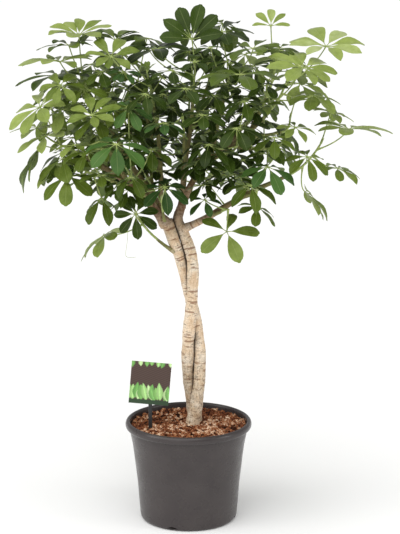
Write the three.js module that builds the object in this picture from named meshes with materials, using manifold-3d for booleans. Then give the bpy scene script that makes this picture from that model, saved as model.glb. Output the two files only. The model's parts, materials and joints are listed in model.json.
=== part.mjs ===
// A potted umbrella plant (Schefflera arboricola): two twisted woody stems in a nursery pot,
// with a crown of leafy shoots. Millimetres, +Z up, the viewer stands on the -Y side.
// The origin is on the pot's axis, on the surface that the pot stands on.
import * as THREE from 'three';
import { mergeVertices } from 'three/addons/utils/BufferGeometryUtils.js';
import Module from 'manifold-3d';

const wasm = await Module();
wasm.setup();

// ---- Driving dimensions ----------------------------------------------------------------------
const POT_RIM_RADIUS = 135;
const POT_FOOT_RADIUS = 104.7;
const POT_HEIGHT = 217;
const POT_WALL = 2.2;
const POT_FLOOR = 3;
const POT_SIDES = 30;
const RIM_SKIRT = 16; // height of the rolled rim's outer skirt
const DRAINS = 4;
const DRAIN_RADIUS = 20; // each drain is the top of a circle of this radius
const DRAIN_HEIGHT = 9;
const FIRST_DRAIN = -109; // degrees round +Z

const SOIL_LEVEL = 204; // at the pot's wall
const SOIL_MOUND = 5; // how much higher the soil stands near the stems
const SOIL_RELIEF = 1.8;
const SOIL_GAP = 0.7; // between the soil and the pot's wall
const SOIL_SIDES = 20;
const HOLE_GAP = 1.6; // round each stem and the stake, in their holes

const STEM_FOOT = 116; // height where the stems end inside the soil
const TWIST_FOOT = 212; // height where the twist starts, just over the soil
const TWIST_TOP = 600; // and where it ends; a little higher the two stems part
const TWIST_PITCH = 488; // height of one full turn
const TWIST_FRONT = 226; // a height at which stem a lies in front
const STEM_RADIUS = 12.8;
const STEM_FLARE = 2.4; // extra radius at the soil
const STEM_GAP = 0.35; // half the gap between the two stems
const STEM_SIDES = 8;
const TWIST_STEPS = 20;

const SHOOT_GAP = 0.6; // between a woody limb's end and the green shoot that goes on from it
const SHOOT_RADIUS = 2.7;
const PETIOLE_RADIUS = 1.5;
const FOOT_RADIUS = 0.9; // of a petiole's lowest end, which lies inside the green stem
const FOOT_SUNK = 0.9; // how far that end reaches past the stem's centre line
const STALK_STEPS = 2; // straight lengths that a petiole is made of
const BLADE_THICKNESS = 0.75;
const BLADE_SLOPE = 25; // degrees by which a blade's sides can be steeper than the leaf's droop
const HUB_RADIUS = 0.9; // of a petiole's top, where it grows into the blades
const HUB_DEPTH = 1.8; // how far that lies under the blades, so that steep ones keep their thickness
const HALF_WIDTH = 0.195; // of a leaflet, as a share of its length
const SHOULDER = 0.66; // where a leaflet is widest, from hub to tip
const ARCH = 0.06; // rise of a leaflet's middle over the line from hub to tip, as a share
const FOLD = 0.02; // rise of its edges over its rib
const SPREAD = 330; // degrees that the leaflets of a leaf are spread over
const SMALL_LEAF = 60; // a leaf of less reach is made with half of its leaflets, others with two thirds
const CLEAR = 6.2; // room left between blades of different shoots
const CLEAR_OWN = 4; // and between blades of the same shoot

const CARD = { width: 84, height: 92, thickness: 0.9, lean: 5, at: [-80.5, -43, 309] };
const STAKE = { width: 8, thickness: 2.2, foot: 120, top: 296, head: 26 };

const MERGE = 0.08; // detail finer than this is smoothed away where solids join

// ---- Vectors, random draws and solids ----------------------------------------------------------
const rad = THREE.MathUtils.degToRad;
const vec = (x, y, z) => new THREE.Vector3(x, y, z);
const UP = vec(0, 0, 1);

// A small seeded generator, so that the crown grows the same way each time.
function seeded(seed) {
  let state = seed >>> 0;
  return () => {
    state = (state + 0x6d2b79f5) >>> 0;
    let mixed = Math.imul(state ^ (state >>> 15), 1 | state);
    mixed = (mixed + Math.imul(mixed ^ (mixed >>> 7), 61 | mixed)) ^ mixed;
    return ((mixed ^ (mixed >>> 14)) >>> 0) / 4294967296;
  };
}

function meshGeometry(positions, faces) {
  const geometry = new THREE.BufferGeometry();
  geometry.setAttribute('position', new THREE.Float32BufferAttribute(positions.flat(), 3));
  geometry.setIndex(faces.flat());
  return geometry;
}

function toSolid(geometry) {
  const bare = geometry.clone();
  bare.deleteAttribute('normal');
  bare.deleteAttribute('uv');
  const merged = mergeVertices(bare, 1e-4);
  return new wasm.Manifold(new wasm.Mesh({
    numProp: 3,
    vertProperties: new Float32Array(merged.attributes.position.array),
    triVerts: new Uint32Array(merged.index.array),
  }));
}

function toGeometry(solid) {
  const mesh = solid.getMesh();
  const geometry = new THREE.BufferGeometry();
  geometry.setAttribute('position', new THREE.BufferAttribute(mesh.vertProperties, 3));
  geometry.setIndex(new THREE.BufferAttribute(mesh.triVerts, 1));
  return geometry;
}

const joined = (solids) => toGeometry(solids.reduce((whole, solid) => whole.add(solid)).simplify(MERGE));

// A closed tube along a curve, with flat ends square to it.
function tube(curve, steps, sides, radiusAt) {
  const positions = [];
  const faces = [];
  let normal = null;
  for (let step = 0; step <= steps; step++) {
    const t = step / steps;
    const centre = curve.getPoint(t);
    const along = curve.getTangent(t);
    if (!normal) normal = vec(0.83, 0.51, 0.23);
    normal.addScaledVector(along, -normal.dot(along)).normalize();
    const binormal = along.clone().cross(normal);
    for (let side = 0; side < sides; side++) {
      const angle = (2 * Math.PI * side) / sides;
      positions.push(centre.clone()
        .addScaledVector(normal, radiusAt(t) * Math.cos(angle))
        .addScaledVector(binormal, radiusAt(t) * Math.sin(angle)).toArray());
    }
  }
  const ring = (step, side) => step * sides + (side % sides);
  for (let step = 0; step < steps; step++) {
    for (let side = 0; side < sides; side++) {
      faces.push([ring(step, side), ring(step, side + 1), ring(step + 1, side + 1)]);
      faces.push([ring(step, side), ring(step + 1, side + 1), ring(step + 1, side)]);
    }
  }
  for (let side = 1; side < sides - 1; side++) {
    faces.push([0, side + 1, side]);
    faces.push([ring(steps, 0), ring(steps, side), ring(steps, side + 1)]);
  }
  return meshGeometry(positions, faces);
}

const smooth = (points) => new THREE.CatmullRomCurve3(
  points.map((point) => (point.isVector3 ? point : vec(...point))), false, 'catmullrom', 0.5);

const bend = (from, over, to) => new THREE.QuadraticBezierCurve3(from, over, to);

function turned(profile, sides) {
  const points = profile.map(([radius, height]) => new THREE.Vector2(radius, height));
  return new THREE.LatheGeometry(points, sides).rotateX(Math.PI / 2);
}

// ---- Pot and soil --------------------------------------------------------------------------------
// Outer radius of the pot's wall from its foot to under the rim: it widens in steps, so that
// empty pots stack without jamming.
const WALL = [[16, POT_FOOT_RADIUS], [80, 109.5], [161, 119], [190, 124.6], [212, 126.4]];

function potProfile() {
  const top = POT_HEIGHT;
  const foot = POT_HEIGHT - RIM_SKIRT;
  const rim = POT_RIM_RADIUS;
  const edge = POT_FOOT_RADIUS;
  return [
    [0, 0], [edge - 8.5, 0], [edge - 3.6, 2], [edge - 1.2, 6.5],
    ...WALL.map(([height, radius]) => [radius, height]),
    [rim - 4.8, top - 3.4], [rim - 2.2, top - 8.5], [rim - 4.6, foot], // inside of the rolled rim
    [rim - 2.8, foot], [rim - 0.5, foot + 3.4], [rim, top - 8.5], [rim - 1.2, top - 3.8],
    [rim - 3.8, top - 0.8], [rim - 7.4, top], [rim - 10.4, top - 3.2],
    ...WALL.toReversed().slice(1).map(([height, radius]) => [radius - POT_WALL, height]),
    [edge - POT_WALL - 2.4, POT_FLOOR + 1.5], [edge - 8.5, POT_FLOOR], [0, POT_FLOOR],
  ];
}

function makePot() {
  let pot = toSolid(turned(potProfile(), POT_SIDES));
  const length = 30;
  for (let drain = 0; drain < DRAINS; drain++) {
    const cutter = new THREE.CylinderGeometry(DRAIN_RADIUS, DRAIN_RADIUS, length, 12);
    cutter.rotateZ(Math.PI / 2); // its axis along +X
    cutter.translate(POT_FOOT_RADIUS - 6 + length / 2, 0, DRAIN_HEIGHT - DRAIN_RADIUS);
    cutter.rotateZ(rad(FIRST_DRAIN + (360 / DRAINS) * drain));
    pot = pot.subtract(toSolid(cutter));
  }
  return toGeometry(pot);
}

// The soil's surface: a low mound, with the lumps of coarse bark as relief.
function soilHeight(x, y) {
  const radius = Math.hypot(x, y);
  const mound = SOIL_MOUND * Math.exp(-((radius / 62) ** 2));
  const lumps = Math.sin(0.14 * x + 0.09 * y) * Math.cos(0.17 * y - 0.05 * x)
    + 0.6 * Math.sin(0.33 * x - 0.21 * y + 1) * Math.sin(0.29 * y + 0.2 * x);
  return SOIL_LEVEL + mound + SOIL_RELIEF * lumps;
}

function makeSubstrate(standing) {
  const inner = (radius) => radius - POT_WALL - SOIL_GAP;
  const wall = WALL.slice(1, -1).map(([height, radius]) => [inner(radius), height]);
  const edge = wall.at(-1)[0];
  const rows = [edge, 104, 86, 68, 52, 36, 18, 0];
  const profile = [
    [0, POT_FLOOR + 0.5], [POT_FOOT_RADIUS - 10, POT_FLOOR + 0.5],
    [inner(POT_FOOT_RADIUS) - 1, 14], ...wall,
    ...rows.map((radius) => [radius, SOIL_LEVEL]),
  ];
  const geometry = turned(profile, SOIL_SIDES);
  const at = geometry.attributes.position;
  for (let i = 0; i < at.count; i++) {
    if (at.getZ(i) > SOIL_LEVEL - 1) at.setZ(i, soilHeight(at.getX(i), at.getY(i)));
  }
  return toGeometry(standing.reduce((soil, cutter) => soil.subtract(cutter), toSolid(geometry)));
}

// ---- The two twisted stems -------------------------------------------------------------------------
const stemRadius = (height) => STEM_RADIUS + STEM_FLARE * Math.exp(-Math.max(height - 200, 0) / 35)
  - 0.0035 * Math.max(height - 300, 0);
const twistAxis = (height) => 12 - 15 * (Math.max(height - 225, 0) / 340) ** 3
  - 0.2 * Math.max(height - 565, 0);
const TWIST_AXIS_Y = 3;

// The centre line of stem a (turn 0) or b (turn 180): a helix round the other one, then free.
function stemLine(turn, free) {
  const points = [];
  for (let step = 0; step <= TWIST_STEPS; step++) {
    const height = STEM_FOOT + ((TWIST_TOP - STEM_FOOT) * step) / TWIST_STEPS;
    const twist = (360 * (Math.max(height, TWIST_FOOT) - TWIST_FRONT)) / TWIST_PITCH;
    const angle = rad(turn - 90 + twist);
    const away = stemRadius(height) + STEM_GAP + 0.02 * Math.max(height - 540, 0);
    points.push(vec(twistAxis(height) + away * Math.cos(angle),
      TWIST_AXIS_Y + away * Math.sin(angle), height));
  }
  return smooth([...points, ...free]);
}

const STEMS = {
  a: { line: stemLine(0, [[-35, -3, 622], [-46, -2, 650]]), top: 12 },
  b: { line: stemLine(180, [[-11, 6, 622], [-22, 8, 650], [-12, 9, 686]]), top: 9 },
};

function stemTube({ line, top }) {
  return toSolid(tube(line, line.points.length - 1, STEM_SIDES, (t) => {
    const height = line.getPoint(t).z;
    const narrowing = THREE.MathUtils.smoothstep(height, TWIST_TOP - 20, 680);
    return THREE.MathUtils.lerp(stemRadius(height), top, narrowing);
  }));
}

// The plain round hole that a stem stands in.
function stemHole({ line }) {
  const radius = stemRadius(SOIL_LEVEL) + HOLE_GAP;
  const depth = TWIST_FOOT + 10 - STEM_FOOT;
  const { x, y } = line.points[0];
  return toSolid(new THREE.CylinderGeometry(radius, radius, depth, 14).rotateX(Math.PI / 2)
    .translate(x, y, STEM_FOOT - HOLE_GAP + depth / 2));
}

// ---- The crown: woody limbs, and the leafy shoots that go on from them ------------------------------
// Each shoot has the woody limb that carries it (its stem, its radius at both ends and the
// points it runs through, from inside what it grows from), the shoot's tip, and its leaves.
// A leaf is [hub x, y, z, reach, tilt, facing, droop, leaflets, spin, spread]: reach is from the
// hub to the longest leaflet's tip, tilt is how far the leaf leans from level, facing is where it
// leans to in degrees round +Z from +X, and spin turns the leaflets round the hub from there.
// A number instead of a list is that many leaves placed by rule.
const SHOOTS = [
  { name: 'upper_left', stem: 'a', wood: [6, 3.2],
    through: [[-77, -20, 686], [-112, -12, 760], [-150, -20, 830], [-180, -26, 884]],
    tip: [-214, -35, 945], leaves: [
      [-222, -10, 1035, 78, 14, -95, -14, 8, 20], [-240, -45, 1018, 68, 6, 180, 1, 7],
      [-256, -78, 988, 90, 3, 180, 1, 8], [-264, -25, 956, 92, 8, 180, 5, 7],
      [-250, -128, 943, 62, 30, -95, 16, 7, 170], [-202, -104, 941, 60, 34, -85, 14, 7, 150],
      [-190, -62, 966, 72, 20, -80, 18, 7, 60]] },
  { name: 'front_left', stem: 'a', wood: [5, 3],
    through: [[-122, -55, 738], [-145, -85, 785], [-160, -108, 815]],
    tip: [-178, -130, 852], leaves: [
      [-192, -180, 896, 68, 34, -110, -2, 7, 180, 260], [-184, -100, 877, 70, 14, -130, 24, 7],
      [-160, -142, 919, 82, 32, -75, 18, 7, 160]] },
  { name: 'left', stem: 'a', wood: [11, 3.4],
    through: [[-46, -2, 642], [-77, -20, 686], [-122, -55, 738], [-180, -60, 776], [-214, -62, 796]],
    tip: [-258, -66, 818], leaves: [
      [-294, -98, 900, 86, 30, -140, 2, 8, 10], [-305, -45, 850, 60, 8, 180, 6, 7],
      [-278, -90, 834, 80, 18, -160, 8, 7], [-300, -26, 812, 108, 52, 180, 12, 4, 0, 100],
      [-252, -72, 792, 70, 28, -130, 20, 6]] },
  { name: 'lower_left', stem: 'a', wood: [4.5, 3],
    through: [[-104, -42, 719], [-140, -60, 735], [-158, -66, 745]],
    tip: [-202, -76, 764], leaves: [
      [-244, -92, 761, 74, 22, -110, 26, 7, 10], [-176, -78, 712, 64, 15, -100, 46, 6],
      [-208, -10, 745, 70, 25, 150, 20, 6], [-192, -112, 806, 70, 18, -95, 26, 7]] },
  { name: 'front_middle_left', stem: 'a', wood: [4, 3],
    through: [[-72, -17, 680], [-92, -55, 715], [-103, -80, 736]],
    tip: [-119, -125, 773], leaves: [
      [-139, -208, 840, 80, 22, -95, 20, 8, 22], [-112, -175, 772, 56, 14, -90, 38, 6],
      [-122, -158, 890, 72, 20, -80, 22, 7], [-72, -135, 820, 58, 12, -85, 24, 7]] },
  { name: 'sucker', stem: 'a', wood: [4, 2.8],
    through: [[-29, -4, 583], [-48, -8, 597], [-64, -20, 613]],
    tip: [-104, -50, 664], leaves: [
      [-107, -96, 680, 60, 62, -90, 6, 8, 20], [-169, -52, 631, 80, 32, 180, 12, 6, 0, 210],
      [-118, 10, 694, 60, 20, 120, 18, 6]] },
  { name: 'fork', stem: 'a', wood: [4, 2.8],
    through: [[-46, -1, 636], [-51, -22, 660], [-52, -34, 674]],
    tip: [-54, -75, 712], leaves: [
      [-46, -150, 746, 62, 32, -92, 20, 7, 10], [-110, -62, 800, 54, 25, -120, 12, 7]] },
  { name: 'inner_left', stem: 'a', wood: [6, 3.2],
    through: [[-60, -9, 661], [-57, 2, 740], [-62, -5, 830], [-70, -20, 890]],
    tip: [-80, -42, 952], leaves: [
      [-80, -128, 972, 30, 20, -90, -50, 6], [-148, 15, 1023, 68, 8, 170, -14, 7],
      [-156, -96, 999, 66, 30, -80, -6, 7, 170], [-84, -160, 932, 60, 18, -90, 26, 7],
      [-120, -104, 954, 56, 14, -85, 18, 7, 150]] },
  { name: 'centre', stem: 'b', wood: [6.5, 3.2],
    through: [[-14, 9, 674], [-8, 10, 758], [5, 0, 840], [10, -10, 905]],
    tip: [14, -22, 970], leaves: [
      [8, -10, 1026, 76, 63, -95, -8, 6, 185, 172], [14, -85, 988, 48, 20, -90, 5, 6],
      [-62, -34, 1010, 88, 7, -150, 5, 7], [-82, 58, 1004, 60, 14, 90, 2, 7],
      [-4, -160, 943, 64, 12, -70, 14, 7], [-28, -104, 974, 58, 12, -95, 12, 7]] },
  { name: 'upper_middle', stem: 'b', wood: [4.5, 3],
    through: [[46, 0, 775], [60, 12, 840], [74, 10, 900]],
    tip: [86, 0, 965], leaves: [
      [68, 30, 1037, 82, 12, -85, 6, 8, 165], [132, -64, 1014, 78, 14, -170, 4, 7],
      [104, -130, 969, 100, 5, -95, 3, 8], [44, -66, 1002, 46, 14, -100, 12, 7]] },
  { name: 'top_right', stem: 'b', wood: [4, 2.8],
    through: [[130, -38, 846], [152, -14, 890], [160, -6, 905]],
    tip: [177, 10, 955], leaves: [
      [170, 24, 1051, 46, 32, -90, -10, 5, 180, 190], [186, -10, 1010, 50, 12, -60, 6, 7],
      [182, 55, 998, 56, 15, 60, 6, 7]] },
  { name: 'upper_right', stem: 'b', wood: [7.5, 3.2],
    through: [[-22, 7, 654], [8, 8, 728], [46, 0, 775], [107, -30, 825], [150, -45, 866], [168, -50, 888]],
    tip: [199, -62, 946], leaves: [
      [223, -125, 975, 98, 28, -70, 4, 8, 178], [279, -60, 1018, 94, 20, -88, 0, 8, 178, 300],
      [252, -75, 920, 66, 8, -45, 20, 7], [226, -5, 955, 70, 18, 60, 8, 6]] },
  { name: 'right', stem: 'b', wood: [8, 3.4],
    through: [[-12, 5, 630], [30, -8, 652], [81, -25, 686], [136, -40, 720], [176, -42, 738],
      [206, -42, 752]],
    tip: [272, -40, 818], leaves: [
      [293, -15, 878, 52, 12, -10, 8, 7], [328, -50, 850, 98, 4, 0, -1, 7, 10],
      [303, -72, 772, 58, 20, -10, 14, 6, 0, 240], [244, -112, 794, 66, 30, -60, 22, 7],
      [242, -24, 714, 78, 50, -4, 4, 6, 0, 170]] },
  { name: 'middle_right', stem: 'b', wood: [4, 2.8],
    through: [[90, -22, 810], [122, -48, 808], [136, -56, 808]],
    tip: [180, -74, 815], leaves: [
      [216, -95, 858, 48, 20, -60, 10, 7], [173, -125, 842, 56, 18, -90, 22, 7],
      [160, -140, 785, 70, 16, -60, 26, 7], [150, -72, 900, 52, 20, -120, 5, 6]] },
  { name: 'lower_right', stem: 'b', wood: [4, 2.8],
    through: [[112, -34, 706], [126, -58, 713], [132, -70, 719]],
    tip: [142, -105, 735], leaves: [
      [125, -160, 752, 68, 18, -75, 26, 7], [140, -104, 698, 56, 22, -30, 24, 7]] },
  { name: 'front_middle_right', stem: 'b', wood: [4, 2.8],
    through: [[62, -8, 788], [78, -48, 800], [86, -62, 804]],
    tip: [101, -110, 828], leaves: [
      [96, -190, 870, 63, 14, -90, 22, 7, 22], [42, -165, 834, 62, 18, -100, 28, 7],
      [112, -150, 918, 62, 14, -80, 26, 7]] },
  { name: 'low_front', stem: 'b', wood: [3.8, 2.8],
    through: [[48, -14, 664], [64, -32, 672], [69, -39, 676]],
    tip: [82, -72, 686], leaves: [
      [79, -98, 645, 76, 44, -88, 8, 5, 20, 288], [34, -70, 706, 46, 28, -110, 18, 6]] },
  { name: 'inner_front', stem: 'b', wood: [3.8, 2.8],
    through: [[12, 7, 735], [30, -20, 740], [36, -28, 743]],
    tip: [50, -64, 756], leaves: [
      [28, -122, 788, 56, 14, -95, 26, 7], [86, -104, 770, 48, 16, -70, 26, 6],
      [100, -70, 802, 60, 25, -60, 12, 6]] },
  { name: 'high_front', stem: 'b', wood: [3.8, 2.8],
    through: [[-5, 9, 764], [-8, -25, 805], [-8, -50, 832]],
    tip: [-10, -98, 880], leaves: [
      [-44, -172, 882, 60, 10, -100, 18, 7], [30, -175, 892, 58, 10, -80, 16, 7],
      [52, -70, 920, 62, 16, -70, 20, 7]] },
  { name: 'back_left', stem: 'a', wood: [6, 3],
    through: [[-46, 0, 640], [-76, 40, 700], [-130, 80, 762], [-185, 102, 800]],
    tip: [-228, 125, 850], leaves: 4 },
  { name: 'back_left_high', stem: 'a', wood: [4.5, 2.8],
    through: [[-76, 40, 700], [-100, 92, 770], [-132, 140, 828]],
    tip: [-168, 185, 890], leaves: 5 },
  { name: 'back_low', stem: 'a', wood: [4.5, 2.8],
    through: [[-76, 40, 700], [-80, 105, 738], [-86, 158, 762]],
    tip: [-96, 218, 800], leaves: 4 },
  { name: 'top_left_back', stem: 'a', wood: [4.5, 2.8],
    through: [[-56, 2, 738], [-78, 55, 820], [-95, 85, 885]],
    tip: [-108, 112, 922], leaves: 4 },
  { name: 'low_left_back', stem: 'a', wood: [4, 2.8],
    through: [[-76, 40, 700], [-118, 78, 706], [-138, 92, 711]],
    tip: [-180, 118, 732], leaves: 4 },
  { name: 'back', stem: 'b', wood: [5.5, 2.8],
    through: [[-13, 9, 678], [-6, 70, 752], [-1, 128, 805], [0, 165, 840]],
    tip: [2, 214, 896], leaves: 5 },
  { name: 'back_right_low', stem: 'b', wood: [4.5, 2.8],
    through: [[-6, 70, 752], [40, 122, 770], [78, 162, 786]],
    tip: [112, 208, 815], leaves: 4 },
  { name: 'back_right_high', stem: 'b', wood: [5, 2.8],
    through: [[46, 0, 775], [90, 58, 812], [128, 106, 842], [152, 136, 866]],
    tip: [168, 175, 908], leaves: 4 },
  { name: 'right_back', stem: 'b', wood: [4.5, 2.8],
    through: [[90, 58, 812], [150, 76, 816], [196, 88, 822]],
    tip: [216, 114, 850], leaves: 3 },
  { name: 'top_back', stem: 'b', wood: [4.5, 2.8],
    through: [[5, 0, 838], [28, 46, 888], [40, 74, 922]],
    tip: [50, 104, 962], leaves: 5 },
  { name: 'low_right_back', stem: 'b', wood: [4, 2.8],
    through: [[81, -25, 686], [106, 36, 693], [128, 80, 704]],
    tip: [146, 128, 728], leaves: 3 },
  { name: 'low_back', stem: 'b', wood: [4, 2.8],
    through: [[-13, 9, 681], [0, 60, 688], [5, 92, 694]],
    tip: [10, 150, 716], leaves: 4 },
];

for (const shoot of SHOOTS) {
  const points = shoot.through.map((point) => vec(...point));
  const end = points.at(-1);
  const heading = end.clone().sub(points.at(-2)).normalize();
  const tip = vec(...shoot.tip);
  const foot = end.clone().addScaledVector(heading, SHOOT_GAP);
  const over = foot.clone().addScaledVector(heading, 0.45 * foot.distanceTo(tip));
  shoot.limb = smooth(points);
  shoot.green = bend(foot, over, tip);
}

// The leaf's parts as lines: its petiole, and for each leaflet the directions along it, across
// it and out of its upper face.
function growLeaf(shoot, { hub, reach, tilt, facing, droop, count, spin, spread, footAt }, random) {
  const [lean, turn] = [rad(tilt), rad(facing)];
  const top = vec(Math.sin(lean) * Math.cos(turn), Math.sin(lean) * Math.sin(turn), Math.cos(lean));
  const out = vec(Math.cos(lean) * Math.cos(turn), Math.cos(lean) * Math.sin(turn), -Math.sin(lean));
  const side = top.clone().cross(out);
  const leaflets = [];
  for (let i = 0; i < count; i++) {
    const angle = (i / (count - 1) - 0.5) * spread;
    const heading = rad(angle + spin);
    const dip = rad(droop + 12 * (random() - 0.5));
    const roll = rad(26 * (random() - 0.5));
    const level = out.clone().multiplyScalar(Math.cos(heading)).addScaledVector(side, Math.sin(heading));
    const along = level.clone().multiplyScalar(Math.cos(dip)).addScaledVector(top, -Math.sin(dip));
    const flat = top.clone().cross(level);
    const face = along.clone().cross(flat).multiplyScalar(Math.cos(roll))
      .addScaledVector(flat, -Math.sin(roll));
    leaflets.push({ along, face, across: face.clone().cross(along),
      length: reach * (0.88 + 0.12 * Math.cos(rad(angle))) });
  }
  const foot = shoot.green.getPoint(footAt);
  const away = foot.distanceTo(hub);
  const over = foot.clone().add(hub).multiplyScalar(0.5)
    .add(hub).addScaledVector(top, -0.5 * away).multiplyScalar(0.5).addScaledVector(UP, 0.05 * away);
  return { shoot, hub, top, reach, droop, leaflets, stalk: bend(foot, over, hub), away };
}

// Points spread over the leaf, by which it is kept clear of the others.
const halfWidthAt = (u) => HALF_WIDTH * Math.max(0, Math.min((u - 0.1) / 0.35, (1.08 - u) / 0.3, 1));

function addSamples(leaf) {
  leaf.samples = [];
  for (const { along, across, face, length } of leaf.leaflets) {
    for (const u of [0.25, 0.4, 0.55, 0.7, 0.85, 1]) {
      for (const v of [-1, 0, 1]) {
        leaf.samples.push(leaf.hub.clone().addScaledVector(along, u * length)
          .addScaledVector(across, v * halfWidthAt(u) * length)
          .addScaledVector(face, 4 * ARCH * u * (1 - u) * length));
      }
    }
  }
  const steps = Math.ceil(leaf.away / 9);
  leaf.stalkSamples = [];
  for (let i = 1; i < steps; i++) leaf.stalkSamples.push(leaf.stalk.getPoint(i / steps));
}

function insideBlade(leaf, point, room) {
  const offset = point.clone().sub(leaf.hub);
  if (offset.lengthSq() > (leaf.reach + room) ** 2) return false;
  return leaf.leaflets.some(({ along, across, face, length }) => {
    const u = offset.dot(along) / length;
    if (u < -room / length || u > 1 + room / length) return false;
    if (Math.abs(offset.dot(across)) > halfWidthAt(u) * length + room) return false;
    return Math.abs(offset.dot(face) - 4 * ARCH * u * (1 - u) * length) < room;
  });
}

// Whether a leaf would cross what has already grown.
function isBlocked(leaf, grown, wood) {
  for (const other of grown) {
    const far = leaf.reach + other.reach + Math.max(leaf.away, other.away) + CLEAR;
    if (leaf.hub.distanceTo(other.hub) > far) continue;
    const apart = leaf.shoot !== other.shoot;
    const room = apart ? CLEAR : CLEAR_OWN;
    if (leaf.samples.some((point) => insideBlade(other, point, room))) return true;
    if (other.samples.some((point) => insideBlade(leaf, point, room))) return true;
    if (!apart) continue;
    if (leaf.stalkSamples.some((point) => insideBlade(other, point, 5))) return true;
    if (other.stalkSamples.some((point) => insideBlade(leaf, point, 5))) return true;
    if (leaf.stalkSamples.some((point) => other.stalkSamples
      .some((near) => point.distanceTo(near) < 9))) return true;
  }
  for (const { at, radius, shoot } of wood) {
    if (shoot === leaf.shoot) continue;
    if (insideBlade(leaf, at, radius + 3.5)) return true;
    if (leaf.stalkSamples.some((point) => point.distanceTo(at) < radius + 6)) return true;
  }
  return false;
}

// Points along the wood and the green stems, with the radius to keep clear of.
function woodPoints() {
  const points = [];
  const along = (curve, radiusAt, shoot) => {
    const corners = curve.points ?? [curve.v0, curve.v1, curve.v2];
    const length = corners.slice(1).reduce((sum, at, i) => sum + at.distanceTo(corners[i]), 0);
    const steps = Math.ceil(length / 7);
    for (let i = 0; i <= steps; i++) {
      points.push({ at: curve.getPoint(i / steps), radius: radiusAt(i / steps), shoot });
    }
  };
  for (const shoot of SHOOTS) {
    const [root, end] = shoot.wood;
    along(shoot.limb, (t) => root + (end - root) * t, null);
    along(shoot.green, () => SHOOT_RADIUS, shoot);
  }
  for (const { line } of Object.values(STEMS)) along(line, () => STEM_RADIUS, null);
  return points;
}

// Leaves placed by rule: round the shoot by the golden angle, drawn to the crown's outside.
function ruleLeaf(shoot, index, total, random) {
  const tip = shoot.green.getPoint(1);
  const outward = THREE.MathUtils.radToDeg(Math.atan2(tip.y, tip.x));
  const around = (((index * 137.5 + 40) % 360) - 180) * 0.62;
  const facing = outward + around + 20 * (random() - 0.5);
  const rise = rad(66 - (78 * index) / total + 8 * (random() - 0.5));
  const footAt = 1 - (0.6 * index) / total;
  const stalk = 78 + 12 * index + 16 * random();
  const hub = shoot.green.getPoint(footAt)
    .add(vec(Math.cos(rad(facing)) * Math.cos(rise), Math.sin(rad(facing)) * Math.cos(rise), Math.sin(rise))
      .multiplyScalar(stalk));
  return { hub, reach: 68 + 24 * random(), tilt: 14 + 5 * index + 8 * random(), facing,
    droop: 14 + 3 * index + 12 * random(), count: 7, spin: 0, spread: SPREAD, footAt };
}

function handLeaf(row, index, total) {
  const [x, y, z, reach, tilt, facing, droop, count, spin = 0, spread = SPREAD] = row;
  const footAt = 1 - (0.75 * index) / total;
  return { hub: vec(x, y, z), reach, tilt, facing, droop, count, spin, spread, footAt };
}

// Each leaf is tried as meant first, then turned, moved and at last made smaller, until it is
// clear of the others; one that never is, is left out.
const TRIES = 48;

function growCrown() {
  const random = seeded(7);
  const wood = woodPoints();
  const grown = [];
  for (const shoot of SHOOTS) {
    const rows = typeof shoot.leaves === 'number' ? Array(shoot.leaves).fill(null) : shoot.leaves;
    rows.forEach((row, index) => {
      const meant = row ? handLeaf(row, index, rows.length) : ruleLeaf(shoot, index, rows.length, random);
      const wander = row ? 1 : 2.2;
      for (let attempt = 0; attempt < TRIES; attempt++) {
        const shift = vec(random() - 0.5, random() - 0.5, random() - 0.5);
        const leaf = growLeaf(shoot, {
          ...meant,
          hub: meant.hub.clone().addScaledVector(shift, wander * attempt),
          reach: meant.reach * (1 - 0.006 * attempt),
          tilt: meant.tilt + 0.7 * attempt * (random() - 0.5),
          spin: meant.spin + (attempt * 23) % 40 - (attempt ? 20 : 0),
        }, random);
        addSamples(leaf);
        if (!isBlocked(leaf, grown, wood)) {
          grown.push(leaf);
          break;
        }
      }
    });
  }
  return grown;
}

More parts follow.
